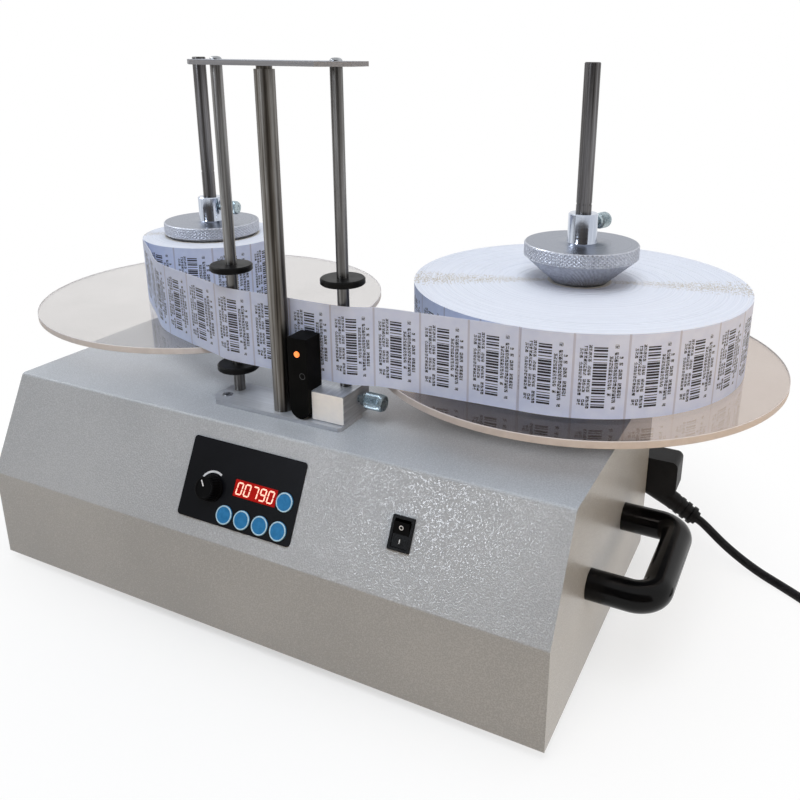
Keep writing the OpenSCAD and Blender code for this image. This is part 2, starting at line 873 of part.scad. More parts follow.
top_screw_d = 4;
top_screw_l = 10;
module guide_rod(x) {
    color("#7d7b76")
    translate([x, rod_axis_y, 0])
        difference() {
            union() {
                rod(rod_d, guide_z, tie_z);
                rod(rod_spigot_d, top_z - sheet_t, guide_z);
            }
            rod(top_screw_d + 2 * fit, tie_z - top_screw_l, tie_z + over);
        }
}
module guide_rod_left() guide_rod(rod_left_x);
module guide_rod_right() guide_rod(rod_right_x);

module guide_post() {
    color("#7d7b76")
    translate([post_axis_x, post_axis_y, 0]) {
        rod(post_d, guide_z, tie_z - 2);
        rod(post_d - 3, tie_z - 2, tie_z);
        rod(post_spigot_d, top_z - sheet_t, guide_z);
    }
}

module guide_tie_plate() {
    c = tie_chamfer;
    w = tie_w / 2;
    color("#b4b8bf")
    difference() {
        translate([guide_x, front_y + plate_y, tie_z])
            linear_extrude(plate_t)
                polygon([[-w + c, 0], [w - c, 0], [w, c], [w, plate_d], [-w, plate_d], [-w, c]]);
        for (x = [rod_left_x, rod_right_x])
            translate([x, rod_axis_y, tie_z]) rod(top_screw_d + 2 * screw_gap, -over, plate_t + over);
    }
}

// Button-head screws over the rods and countersunk screws in the guide's base plate
module guide_screws() {
    color("#9a9da1") {
        for (x = [rod_left_x, rod_right_x])
            translate([x, rod_axis_y, tie_z + plate_t]) {
                rod(top_screw_d, -plate_t - top_screw_l + 1, 0);
                intersection() {
                    translate([0, 0, -2.6]) sphere(d = 9.4);
                    rod(2 * top_screw_d, 0, 2.1);
                }
            }
        for (x = guide_screw_xs)
            translate([x, guide_screw_y, 0]) {
                rod(guide_screw_d, top_z - sheet_t - 3, guide_z - guide_screw_d / 2);
                countersink(guide_screw_d, guide_z);
            }
    }
}

// Black collars that keep the web at its height on the rods; low on the right the sensor block does
module web_ring(x, z) {
    edge = 0.8;
    color("#17181a")
    translate([x, rod_axis_y, z])
        rotate_extrude()
            polygon([
                [rod_d / 2 + fit, 0], [ring_d / 2 - edge, 0], [ring_d / 2, edge],
                [ring_d / 2, ring_t - edge], [ring_d / 2 - edge, ring_t], [rod_d / 2 + fit, ring_t]
            ]);
}
module collar_left_upper() web_ring(rod_left_x, top_z + ring_upper_z);
module collar_left_lower() web_ring(rod_left_x, top_z + ring_lower_z);
module collar_right_upper() web_ring(rod_right_x, top_z + ring_upper_z + 2);

// Photo sensor, the block that clamps it to the right rod, and the block's thumb screw
thumb_screw_d = 5;
thumb_neck = 3;
module sensor_block() {
    color("#b9bdc3")
    difference() {
        translate([block_x, rod_axis_y - block_front, block_z]) cube([block_w, block_d, block_h]);
        translate([rod_right_x, rod_axis_y, block_z]) rod(rod_d + 2 * fit, -over, block_h + over);
        translate([rod_right_x, rod_axis_y, thumb_z])
            rotate([0, 90, 0]) rod(thumb_screw_d + 2 * fit, 0, block_right + over);
    }
}

sensor_back_y = web_y - web_t / 2 - 1.2;
module photo_sensor() {
    foot_r = sensor_w / 2;
    color("#141416") {
        translate([block_x - foot_r, sensor_back_y, block_z + foot_r])
            rotate([90, 0, 0]) {
                linear_extrude(sensor_d) {
                    circle(r = foot_r);
                    translate([-foot_r, 0]) square([sensor_w, sensor_h - foot_r]);
                }
                translate([0, 0.68 * sensor_h, 0]) rod(4, 0, sensor_d + 0.5);
                translate([foot_r / 2, 0.42 * sensor_h, 0]) rod(4.5, 0, sensor_d + 0.3);
            }
    }
}

module sensor_thumb_screw() {
    color("#a9b0b2")
    translate([rod_right_x, rod_axis_y, thumb_z])
        rotate([0, 90, 0]) {
            rod(thumb_screw_d, rod_d / 2 + air, block_right + thumb_neck);
            turned_pin(thumb_d, block_right + thumb_neck, block_right + thumb_neck + thumb_l, 0.8);
        }
}

// Spindle shafts, discs, hubs, cores and rolls
ring_groove = [1.5, 0.25];
module spindle(x) {
    color("#6f7076")
    at_spindle(x)
        difference() {
            turned_pin(spindle_d, shaft_foot_z, top_z + spindle_h, 0.6);
            translate([0, 0, top_z + spindle_ring_z])
                tube(spindle_d + over, spindle_d - 2 * ring_groove[1], 0, ring_groove[0]);
        }
}
module takeup_shaft() spindle(takeup_x);
module supply_shaft() spindle(supply_x);

module disc_hub(x, core_d) {
    spigot_r = core_d / 2 - air;
    bore_r = spindle_r + fit;
    boss_r = hub_boss_d / 2;
    color("#a9adb3")
    at_spindle(x)
        rotate_extrude()
            polygon([
                [bore_r, top_z + bearing_flange_t + run_gap], [boss_r, top_z + bearing_flange_t + run_gap],
                [boss_r, top_z + disc_z - hub_flange_t], [hub_flange_d / 2, top_z + disc_z - hub_flange_t],
                [hub_flange_d / 2, top_z + disc_z], [spigot_r, top_z + disc_z],
                [spigot_r, disc_top_z + hub_spigot_h], [bore_r, disc_top_z + hub_spigot_h]
            ]);
}
module takeup_disc_hub() disc_hub(takeup_x, takeup_core_d);
module supply_disc_hub() disc_hub(supply_x, supply_core_d);

module disc(x, core_d) {
    color("#d9dde0", 0.5)
    at_spindle(x) tube(disc_d, core_d - 2 * air + 2 * fit, top_z + disc_z, disc_top_z);
}
module takeup_disc() disc(takeup_x, takeup_core_d);
module supply_disc() disc(supply_x, supply_core_d);

module core(x, core_d) {
    color("#b89a72")
    at_spindle(x) tube(core_d + 2 * core_wall, core_d, disc_top_z, roll_top_z);
}
module takeup_core() core(takeup_x, takeup_core_d);
module supply_core() core(supply_x, supply_core_d);

module roll(x, core_d, roll_d) {
    color("#eceef2")
    at_spindle(x) tube(roll_d, core_d + 2 * core_wall + 2 * fit, disc_top_z, roll_top_z);
}
module takeup_roll() roll(takeup_x, takeup_core_d, takeup_roll_d);
module supply_roll() roll(supply_x, supply_core_d, supply_roll_d);

// Clamping cones: each sits in the mouth of its core, at the height where it fills the bore
function cone_rim_z(core_d) =
    roll_top_z + air + (cone_d - core_d) / 2 * cone_h / ((cone_d - cone_nose_d) / 2);
function clamp_z(core_d) = cone_rim_z(core_d) + cone_rim_h + cone_collar_h * 0.6;
takeup_clamp_angle = 70;
supply_clamp_angle = 5;

module cone(x, core_d, clamp_angle) {
    rim_z = cone_rim_z(core_d);
    head_z = rim_z + cone_rim_h;
    bore_r = spindle_r + fit;
    edge = 0.8;
    color("#b0b4ba")
    at_spindle(x)
        difference() {
            rotate_extrude()
                polygon([
                    [bore_r, rim_z - cone_h], [cone_nose_d / 2, rim_z - cone_h], [cone_d / 2, rim_z],
                    [cone_d / 2, head_z - edge], [cone_d / 2 - edge, head_z], [cone_collar_d / 2, head_z],
                    [cone_collar_d / 2, head_z + cone_collar_h - edge],
                    [cone_collar_d / 2 - edge, head_z + cone_collar_h], [bore_r, head_z + cone_collar_h]
                ]);
            translate([0, 0, clamp_z(core_d)])
                rotate([0, 90, clamp_angle]) rod(clamp_d + 2 * fit, 0, cone_collar_d);
        }
}
module takeup_cone() cone(takeup_x, takeup_core_d, takeup_clamp_angle);
module supply_cone() cone(supply_x, supply_core_d, supply_clamp_angle);

module clamp_screw(x, core_d, clamp_angle) {
    head = cone_collar_d / 2 + clamp_reach;
    color("#a9b3b4")
    at_spindle(x)
        translate([0, 0, clamp_z(core_d)])
            rotate([0, 90, clamp_angle]) {
                rod(clamp_d, spindle_r + air, head);
                turned_pin(clamp_head_d, head, head + clamp_head_l, 0.8);
            }
}
module takeup_clamp_screw() clamp_screw(takeup_x, takeup_core_d, takeup_clamp_angle);
module supply_clamp_screw() clamp_screw(supply_x, supply_core_d, supply_clamp_angle);

// The web: it peels off the supply roll as a loose turn, passes in front of the rods and behind
// the post and the sensor, and lies onto the front of the take-up roll
web_leave_angle = -128;
web_leave_dir = [cos(web_leave_angle), sin(web_leave_angle)];
web_leave = [supply_x, axis_y] + (supply_roll_d / 2 + air + web_t) * web_leave_dir;
web_off = [-sin(web_leave_angle), cos(web_leave_angle)];
web_end = [takeup_x, axis_y - takeup_roll_d / 2 - air - web_t];
function web_point(p, dip) = [p[0], p[1], -dip * web_dip];
web_route = [
    web_point(web_leave, 0),
    web_point(web_leave + 45 * web_off, 0),
    web_point(web_leave + 90 * web_off, 0),
    web_point([rod_left_x - 50, web_y + 10], 0),
    web_point([rod_left_x - 32, web_y + 4.5], 0),
    web_point([rod_left_x - 14, web_y + 1.2], 0.5),
    web_point([rod_left_x, web_y], 1),
    web_point([post_axis_x, web_y], 1),
    web_point([rod_right_x, web_y], 1),
    web_point([rod_right_x + 18, web_y + 0.4], 0.5),
    web_point([rod_right_x + 34, web_y + 1.2], 0),
    web_point([(rod_right_x + 34 + web_end[0]) / 2, (web_y + 1.2 + web_end[1]) / 2], 0),
    web_point(web_end, 0)
];

module label_web() {
    path = spline(web_route, 6);
    rings = [
        for (i = [0 : len(path) - 1])
            let (
                along = heading(path, i),
                side = unit([along[1], -along[0], 0]) * web_t / 2,
                foot = [path[i][0], path[i][1], web_z + path[i][2]],
                rise = [0, 0, label_h]
            )
            [foot + side, foot - side, foot - side + rise, foot + side + rise]
    ];
    color("#e6e8ee") skin(rings);
}

// Mains lead: an angled connector, a free stretch on the table, a coil and a plug
neck_lean = 30;
neck_l = 44;
neck_d = [18, 11];
neck_from = [body_w / 2 + 2, back_y + 15, foot_h + inlet_z - 14];
neck_dir = [cos(neck_lean), 0, -sin(neck_lean)];
neck_to = neck_from + neck_l * neck_dir;
connector_box = [57, 24, 30];
module mains_connector() {
    face_y = back_y + inlet_flange_t + air;
    nose = inlet_socket - [1, 1];
    color("#161618") {
        at_inlet() slab(nose[0], nose[1], inlet_socket_z + 1, inlet_flange_t + 2);
        translate([inlet_x - 14 + connector_box[0] / 2, face_y, foot_h + inlet_z])
            rotate([90, 0, 0]) rounded_slab(connector_box[0], connector_box[2], 5, -connector_box[1], 0);
        translate(neck_from)
            rotate([0, 90 + neck_lean, 0]) {
                rod(neck_d[0], -8, 0);
                cylinder(d1 = neck_d[0], d2 = neck_d[1], h = neck_l);
                for (z = [20 : 6 : neck_l - 4]) rod(neck_d[1] + 4, z, z + 3);
            }
    }
}

coil_at = [423, 53];
coil_r = 49;
coil_pitch = cord_d + 0.5;
coil_turns = 5.25;
coil_fold = 2.75;
coil_rings = 24;
coil_tie_t = 0.9;
coil_tail = 4 * cord_d;
coil_z = cord_d / 2 + coil_tie_t + 0.1;
coil_rise = cord_d + 0.6;
coil_start = [coil_at[0] - cord_d, coil_at[1] - coil_r, coil_z];
lead_route = [
    neck_to,
    neck_to + cord_d * neck_dir,
    [288, 74, 18],
    [303, 71, 10],
    [318, 66, 5.2],
    [334, 58, 3.6],
    [350, 47.5, 3.6],
    [366, 34.5, 3.6],
    [382, 20.5, 3.6],
    [397, 9.5, 4],
    [407, 5, 4.4],
    coil_start
];
function fold_share(t) = min(max((t - coil_fold + 0.25) / 0.5, 0), 1);
function eased(s) = s * s * (3 - 2 * s);
function coil_radius(t) = coil_r - coil_pitch * min(t, 2 * coil_fold - t);
function coil_point(t) =
    let (a = 360 * t - 90, r = coil_radius(t))
    [coil_at[0] + r * cos(a), coil_at[1] + r * sin(a), coil_z + coil_rise * eased(fold_share(t))];
coil_end = coil_point(coil_turns);
coil_path = concat(
    [coil_start],
    [for (i = [0 : coil_turns * coil_rings]) coil_point(i / coil_rings)],
    [coil_end + [0, coil_tail, 0]]
);

// Least gap between turns, on points at least half a turn apart
coil_gap = min([
    for (i = [0 : len(coil_path) - 1])
        for (j = [i + coil_rings / 2 : len(coil_path) - 1]) norm(coil_path[i] - coil_path[j])
]) - cord_d;
echo(coil_gap = coil_gap);

module mains_cord() {
    color("#131314") skin(tube_rings(spline(lead_route, 2), cord_d / 2, 10));
}

module cord_coil() {
    color("#131314") skin(tube_rings(coil_path, cord_d / 2, 6));
}

plug_w = 34;
plug_body_l = 26;
plug_relief_l = 26;
blade = [1.6, 6.4, 18];
module mains_plug() {
    plug_h = 2 * (coil_end[2] - 0.1);
    face = plug_relief_l + plug_body_l;
    color("#161618")
    translate(coil_end + [0, coil_tail, 0])
        rotate([-90, 0, 0]) {
            cylinder(d1 = cord_d + 3, d2 = cord_d + 8, h = plug_relief_l);
            rounded_slab(plug_w, plug_h, 6, plug_relief_l, face);
            for (side = [-1, 1])
                translate([side * 7, 1, 0])
                    rotate([0, 0, side * 30])
                        slab(blade[0], blade[1], face, face + blade[2]);
            translate([0, -6, 0]) slab(blade[0], blade[1], face, face + blade[2] + 3);
        }
}

housing();
base_plate();
rubber_feet();
case_screws();
handle_left();
handle_right();
panel_overlay();
display_module();
control_board();
rocker_bezel();
mains_inlet();
power_supply();
bearing_housings();
spindle_bearings();
gear_motor();
drive_belt();
brake_felt();
guide_base();
guide_rod_left();
guide_rod_right();
guide_post();
guide_tie_plate();
guide_screws();
label_web();
takeup_shaft();
takeup_disc_hub();
takeup_disc();
takeup_pulley();
takeup_core();
takeup_roll();
supply_shaft();
supply_disc_hub();
supply_disc();
brake_collar();
supply_core();
supply_roll();
motor_pulley();
takeup_cone();
takeup_clamp_screw();
supply_cone();
supply_clamp_screw();
collar_left_upper();
collar_left_lower();
collar_right_upper();
sensor_block();
photo_sensor();
sensor_thumb_screw();
speed_knob();
rocker();
panel_key_1();
panel_key_2();
panel_key_3();
panel_key_4();
panel_key_5();
mains_connector();
mains_cord();
cord_coil();
mains_plug();
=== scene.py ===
# Label rewinder: a sloped steel console with two upright spindles, clear discs that carry the label
# rolls, a web guide with a counting sensor between them, and a mains lead. Shapes are sized in mm and
# made in metres, in the CAD's frame.
import math

import bpy
import numpy as np
from mathutils import Matrix, Vector


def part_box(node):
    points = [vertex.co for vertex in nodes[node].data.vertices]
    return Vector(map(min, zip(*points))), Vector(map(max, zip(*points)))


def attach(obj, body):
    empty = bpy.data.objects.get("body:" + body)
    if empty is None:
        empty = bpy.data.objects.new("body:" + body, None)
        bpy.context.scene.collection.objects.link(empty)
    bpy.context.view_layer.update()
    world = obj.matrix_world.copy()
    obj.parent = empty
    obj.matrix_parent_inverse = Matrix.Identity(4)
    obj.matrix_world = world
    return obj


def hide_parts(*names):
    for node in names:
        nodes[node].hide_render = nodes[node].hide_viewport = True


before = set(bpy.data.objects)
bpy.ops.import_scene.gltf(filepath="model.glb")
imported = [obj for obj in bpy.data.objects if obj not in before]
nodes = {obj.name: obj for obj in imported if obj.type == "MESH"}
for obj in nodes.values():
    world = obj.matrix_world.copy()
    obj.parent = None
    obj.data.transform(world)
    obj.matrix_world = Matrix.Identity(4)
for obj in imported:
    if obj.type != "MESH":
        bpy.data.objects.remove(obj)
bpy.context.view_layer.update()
scene = bpy.context.scene


# The table, the light and the camera, in metres. The machine stands on a pale table top under two wide
# lamps, with a low warm lamp at its right. The window and the skylight show only where a surface mirrors
# them, and a grey screen behind the camera gives the bright steel something darker to mirror.
scene.view_settings.view_transform = "Standard"
plain_white = (1, 1, 1, 1)


def settle(node, values):
    """Sets a shader node's inputs by their names."""
    for name, value in values.items():
        node.inputs[name].default_value = value


def add_node(mat, kind, **values):
    made = mat.node_tree.nodes.new(kind)
    settle(made, values)
    return made


def join(mat, source, target):
    mat.node_tree.links.new(source, target)


def calc(mat, operation, *values):
    """One step of arithmetic on numbers or sockets."""
    made = add_node(mat, "ShaderNodeMath")
    made.operation = operation
    for socket, value in zip(made.inputs, values):
        if isinstance(value, (int, float)):
            socket.default_value = value
        else:
            join(mat, value, socket)
    return made.outputs[0]


def mix(mat, amount, first, second):
    """The first shader where the amount is 0, the second where it is 1."""
    made = add_node(mat, "ShaderNodeMixShader")
    for source, target in zip((amount, first.outputs[0], second.outputs[0]), made.inputs):
        join(mat, source, target)
    return made


def show_rays(mat):
    """1 on rays that see the backdrop itself, straight, mirrored or through glass."""
    path = add_node(mat, "ShaderNodeLightPath").outputs
    seen = calc(mat, "ADD", path["Is Camera Ray"], path["Is Glossy Ray"])
    return calc(mat, "MINIMUM", calc(mat, "ADD", seen, path["Is Transmission Ray"]), 1.0)


room = bpy.data.worlds.new("room")
scene.world = room
room.use_nodes = True
room_light = room.node_tree.nodes["Background"]
settle(room_light, {"Color": (0.93, 0.96, 1.0, 1), "Strength": 0.45})
room_white = add_node(room, "ShaderNodeBackground", Color=plain_white, Strength=1.0)
room_shown = mix(room, show_rays(room), room_light, room_white)
join(room, room_shown.outputs[0], room.node_tree.nodes["World Output"].inputs[0])


def flat_card(name, corners):
    mesh = bpy.data.meshes.new(name)
    mesh.from_pydata(corners, [], [(0, 1, 2, 3)])
    card = bpy.data.objects.new(name, mesh)
    scene.collection.objects.link(card)
    return card


def shade_of(mat):
    return mat.node_tree.nodes["Principled BSDF"]


def start_material(name, values):
    mat = bpy.data.materials.new(name)
    mat.use_nodes = True
    settle(shade_of(mat), values)
    return mat


table_half = 6.0
table = flat_card("table_top", [
    (-table_half, -table_half, 0), (table_half, -table_half, 0),
    (table_half, table_half, 0), (-table_half, table_half, 0),
])
# The top shows as white, a little shaded close to the machine, and throws a warm light back up at it.
laminate = start_material("table_laminate", {"Base Color": (0.95, 0.95, 0.95, 1), "Roughness": 0.7})
bounce = add_node(laminate, "ShaderNodeBsdfDiffuse", Color=(0.70, 0.53, 0.34, 1))
glow = add_node(laminate, "ShaderNodeEmission", Color=plain_white, Strength=1.0)
glow_near, fade_from, fade_over = 0.55, 0.18, 0.22
table_far = add_node(laminate, "ShaderNodeVectorMath")
table_far.operation = "LENGTH"
join(laminate, add_node(laminate, "ShaderNodeTexCoord").outputs["Object"], table_far.inputs[0])
fade = calc(laminate, "SUBTRACT", table_far.outputs["Value"], fade_from)
fade = calc(laminate, "MAXIMUM", calc(laminate, "DIVIDE", fade, fade_over), 0.0)
fade = calc(laminate, "MULTIPLY", 1 - glow_near, calc(laminate, "MINIMUM", fade, 1.0))
fade = calc(laminate, "ADD", glow_near, fade)
diffuse_ray = add_node(laminate, "ShaderNodeLightPath").outputs["Is Diffuse Ray"]
table_lit = mix(laminate, diffuse_ray, shade_of(laminate), bounce)
table_shown = mix(laminate, calc(laminate, "MULTIPLY", fade, show_rays(laminate)), table_lit, glow)
join(laminate, table_shown.outputs[0], laminate.node_tree.nodes["Material Output"].inputs[0])
table.data.materials.append(laminate)

screen_h = 2.6
screen = flat_card("dark_screen", [
    (-2.2, -2.6, 0.0), (3.2, -1.6, 0.0), (3.2, -1.6, screen_h), (-2.2, -2.6, screen_h),
])
cloth = start_material("screen_cloth", {"Base Color": (0.11, 0.10, 0.095, 1), "Roughness": 0.9})
screen.data.materials.append(cloth)
screen.visible_camera = False
screen.visible_transmission = False


def lamp(name, place, aim, watts, size, colour, lights=True, mirrored=True):
    light = bpy.data.lights.new(name, "AREA")
    light.energy = watts
    light.size = size
    light.color = colour
    holder = bpy.data.objects.new(name, light)
    holder.location = place
    holder.visible_diffuse = lights
    holder.visible_glossy = mirrored
    holder.rotation_euler = (Vector(aim) - Vector(place)).to_track_quat("-Z", "Y").to_euler()
    scene.collection.objects.link(holder)


lamp("key_lamp", (0.3, -0.95, 2.0), (0, 0, 0.15), 24.0, 1.2, (0.90, 0.95, 1.0), mirrored=False)
lamp("ceiling_lamp", (0.1, 0.35, 1.9), (0, 0, 0.15), 9.0, 1.3, (0.92, 0.96, 1.0), mirrored=False)
lamp("window", (-0.66, -1.9, 0.80), (0, -0.1, 0.12), 13.0, 0.45, (0.86, 0.92, 1.0), lights=False)
lamp("skylight", (-1.5, -0.2, 1.6), (-0.1, -0.14, 0.16), 10.0, 0.6, (0.95, 0.98, 1.0), lights=False)
lamp("side_lamp", (1.7, -0.6, 0.34), (0.2, 0, 0.12), 9.0, 0.9, (1.0, 0.72, 0.42), mirrored=False)

eye = Vector((0.3305, -0.5348, 0.3907))
turn, dip, cant = math.radians(25.824), math.radians(18.386), math.radians(0.476)
ahead = Vector((-math.sin(turn) * math.cos(dip), math.cos(turn) * math.cos(dip), -math.sin(dip)))
level = Vector((math.cos(turn), math.sin(turn), 0))
rise = level.cross(ahead)
across = math.cos(cant) * level + math.sin(cant) * rise
upward = math.cos(cant) * rise - math.sin(cant) * level
camera = bpy.data.objects.new("camera", bpy.data.cameras.new("camera"))
camera.matrix_world = Matrix.Translation(eye) @ Matrix((across, upward, -ahead)).transposed().to_4x4()
camera.data.sensor_width = 36
camera.data.lens = 36.845
camera.data.shift_x = -0.0517
camera.data.shift_y = -0.0970
scene.collection.objects.link(camera)
scene.camera = camera


# The mains lead: a black plastic-sheathed cord that leaves an angled connector at the back, drops to the
# table and runs to the right, where the rest of its length is wound into a coil that ends in the plug.
MM = 0.001
cord_d = 7.0
neck_dir = np.array([math.cos(math.radians(30)), 0, -0.5])
neck_from, neck_l = np.array([227.0, 78.5, 54.0]), 44.0
neck_to = neck_from + neck_l * neck_dir
coil_at, coil_r, coil_pitch = (423.0, 53.0), 49.0, cord_d + 0.5
coil_turns, coil_steps = 5.25, 48
coil_fold, fold_turns = 2.75, 0.5
coil_z, coil_rise, coil_tail = cord_d / 2 + 1.0, cord_d + 0.6, 4 * cord_d
coil_start = [coil_at[0] - cord_d, coil_at[1] - coil_r, coil_z]
route_steps = 4
lead_route = np.array([
    neck_to, neck_to + cord_d * neck_dir, [288, 74, 18], [303, 71, 10], [318, 66, 5.2], [334, 58, 3.7],
    [350, 47.5, 3.65], [366, 34.5, 3.6], [382, 20.5, 3.6], [397, 9.5, 4], [407, 5, 4.4], coil_start,
])


def smooth_route(points, steps):
    """A smooth curve through the points of a route."""
    last = len(points) - 1
    out = []
    for i in range(last):
        a, b, c, d = (points[min(max(j, 0), last)] for j in (i - 1, i, i + 1, i + 2))
        for t in (s / steps for s in range(steps)):
            bend = t ** 2 * (a - 2.5 * b + 2 * c - d / 2)
            out.append(b + t * (c - a) / 2 + bend + t ** 3 * (1.5 * (b - c) + (d - a) / 2))
    return np.array(out + [points[last]])


def coil_point(t):
    """A place on the coil after t turns: inward on the table, then outward on top."""
    angle = math.radians(360 * t - 90)
    radius = coil_r - coil_pitch * min(t, 2 * coil_fold - t)
    share = min(max((t - coil_fold + fold_turns / 2) / fold_turns, 0), 1)
    lift = coil_rise * share * share * (3 - 2 * share)
    return [coil_at[0] + radius * math.cos(angle), coil_at[1] + radius * math.sin(angle), coil_z + lift]


coil_loops = [coil_point(i / coil_steps) for i in range(int(coil_turns * coil_steps) + 1)]
coil_end = np.array(coil_loops[-1]) + [0, coil_tail, 0]
lead_first = smooth_route(lead_route, route_steps)[:-1]
lead_path = np.vstack([lead_first, [coil_start], coil_loops, [coil_end]]) * MM

lead_line = bpy.data.curves.new("mains_lead", "CURVE")
lead_line.dimensions = "3D"
lead_line.bevel_depth = cord_d / 2 * MM
lead_line.bevel_resolution = 5
lead_spline = lead_line.splines.new("POLY")
lead_spline.points.add(len(lead_path) - 1)
for point, place in zip(lead_spline.points, lead_path):
    point.co = (*place, 1)
lead_spline.use_smooth = True
lead = bpy.data.objects.new("mains_lead", lead_line)
scene.collection.objects.link(lead)

even = (1, 1, 1)


def tint(code):
    """A colour written as it looks on a screen, in the linear values that a shader takes."""
    parts = [int(code[i:i + 2], 16) / 255 for i in (1, 3, 5)]
    return (*(c / 12.92 if c <= 0.04045 else ((c + 0.055) / 1.055) ** 2.4 for c in parts), 1)


def surface_noise(mat, scale, stretch=even, detail=3.0):
    """Noise fixed to the piece, finer with scale (per metre) and drawn out where stretch is below 1."""
    sized = add_node(mat, "ShaderNodeMapping", Scale=stretch)
    noise = add_node(mat, "ShaderNodeTexNoise", Scale=scale, Detail=detail, Roughness=0.55)
    join(mat, add_node(mat, "ShaderNodeTexCoord").outputs["Object"], sized.inputs["Vector"])
    join(mat, sized.outputs[0], noise.inputs["Vector"])
    return noise.outputs["Fac"]


def vary_colour(mat, amount, *stops):
    """Colours along a ramp, driven by a noise or another amount. The stops are (place, colour) pairs, or
    two colours alone, which stand at 0.3 and 0.7."""
    if isinstance(stops[0], str):
        stops = tuple(zip((0.3, 0.7), stops))
    ramp = add_node(mat, "ShaderNodeValToRGB")
    marks = ramp.color_ramp.elements
    for i, (place, colour) in ((0, stops[0]), (1, stops[-1])):
        marks[i].position = place
        marks[i].color = tint(colour)
    for place, colour in stops[1:-1]:
        marks.new(place).color = tint(colour)
    join(mat, amount, ramp.inputs[0])
    join(mat, ramp.outputs[0], shade_of(mat).inputs["Base Color"])
    return ramp.outputs[0]


def vary_rough(mat, amount, low, high):
    spread = add_node(mat, "ShaderNodeMapRange")
    settle(spread, {"From Min": 0.3, "From Max": 0.7, "To Min": low, "To Max": high})
    join(mat, amount, spread.inputs["Value"])
    join(mat, spread.outputs[0], shade_of(mat).inputs["Roughness"])


def raise_grain(mat, amount, depth, strength=1.0, layer="Normal"):
    """Small relief; depth is its real height in metres."""
    bump = add_node(mat, "ShaderNodeBump", Strength=strength, Distance=depth)
    join(mat, amount, bump.inputs["Height"])
    join(mat, bump.outputs[0], shade_of(mat).inputs[layer])


def make_finish(name, colour, rough, metal=0.0, mirror=0.5, tone=(), wear=(), grain=()):
    """A finish: its even values, which an export can fall back on, then what noise varies over the surface.
    mirror is how strongly it reflects; 0.5 is usual. tone is a noise and its colours, wear a noise and two
    roughnesses, grain a noise and its relief. A noise is its scale, or its scale, stretch and detail."""
    mat = start_material(name, {
        "Base Color": tint(colour), "Roughness": rough, "Metallic": metal, "Specular IOR Level": mirror,
    })
    for vary, values in ((vary_colour, tone), (vary_rough, wear), (raise_grain, grain)):
        if values:
            noise = values[0] if isinstance(values[0], tuple) else values[:1]
            vary(mat, surface_noise(mat, *noise), *values[1:])
    return mat


def coat(mat, *pieces):
    """Gives pieces, or CAD nodes by name, this finish."""
    for piece in pieces:
        data = nodes[piece].data if isinstance(piece, str) else piece.data
        data.materials.clear()
        data.materials.append(mat)


sheath = make_finish(
    "cord_sheath", "#17171a", 0.42, mirror=0.15,
    tone=(220, "#121214", "#1f1f23"), wear=(220, 0.36, 0.5), grain=(1500, 0.00005))
coat(sheath, lead)
moulded_black = make_finish(
    "plug_moulding", "#161618", 0.45, mirror=0.15,
    tone=(60, "#111113", "#1d1d20"), wear=(1300, 0.38, 0.55), grain=(1300, 0.00006))
coat(moulded_black, "mains_connector", "mains_plug", "mains_inlet")


# The coil's tie: a strip of black hook-and-loop tape. It is wrapped once round all the turns of the coil
# and its end is lapped over its start on top.
tie_turn, tie_w, tie_t, tie_slack = math.radians(150), 7.0, 0.5, 0.28
tie_sweep = np.radians(np.arange(60, 481, 4))
lap_from, lap_over, lap_rise = 300, 100, 0.55


def skin(name, rows, loop=False, caps=False, sharp=35):
    """A mesh through rows of points in mm. Each row is a ring of the same count, laid bottom to top."""
    rows = np.asarray(rows, float)
    count, around = rows.shape[:2]
    faces = []
    for i in range(count if loop else count - 1):
        for k in range(around):
            a, b = i * around + k, i * around + (k + 1) % around
            up = ((i + 1) % count - i) * around
            faces.append((a, b, b + up, a + up))
    if caps:
        faces.append(tuple(reversed(range(around))))
        faces.append(tuple((count - 1) * around + k for k in range(around)))
    mesh = bpy.data.meshes.new(name)
    mesh.from_pydata((rows.reshape(-1, 3) * MM).tolist(), [], faces)
    mesh.shade_smooth()
    mesh.set_sharp_from_angle(angle=math.radians(sharp))
    piece = bpy.data.objects.new(name, mesh)
    scene.collection.objects.link(piece)
    return piece


turns_here = [coil_point((math.degrees(tie_turn) + 90) / 360 + k) for k in range(int(coil_turns))]
bundle = np.array([(math.hypot(x - coil_at[0], y - coil_at[1]), z) for x, y, z in turns_here])
tie_out = np.array([math.cos(tie_turn), math.sin(tie_turn), 0])
tie_along = np.array([-math.sin(tie_turn), math.cos(tie_turn), 0])
tie_rows = []
for a in tie_sweep:
    facing = np.array([math.cos(a), math.sin(a)])
    corner = bundle[np.argmax(bundle @ facing)]
    lap = lap_rise * min(max((math.degrees(a) - lap_from) / lap_over, 0), 1)
    edge = []
    for off, w in ((0, -1), (tie_t, -1), (tie_t, 1), (0, 1)):
        r, z = corner + (cord_d / 2 + tie_slack + lap + off) * facing
        edge.append(np.array([*coil_at, 0]) + r * tie_out + [0, 0, z] + w * tie_w / 2 * tie_along)
    tie_rows.append(edge)
coil_tie = skin("coil_tie", tie_rows, caps=True)
tie_tape = make_finish(
    "tie_tape", "#1a1a1d", 0.85,
    tone=((900, even, 5.0), "#111113", "#27272b"), grain=((1600, even, 5.0), 0.0002))
coat(tie_tape, coil_tie)

for piece in (lead, coil_tie):
    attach(piece, "console")
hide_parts("mains_cord", "cord_coil")


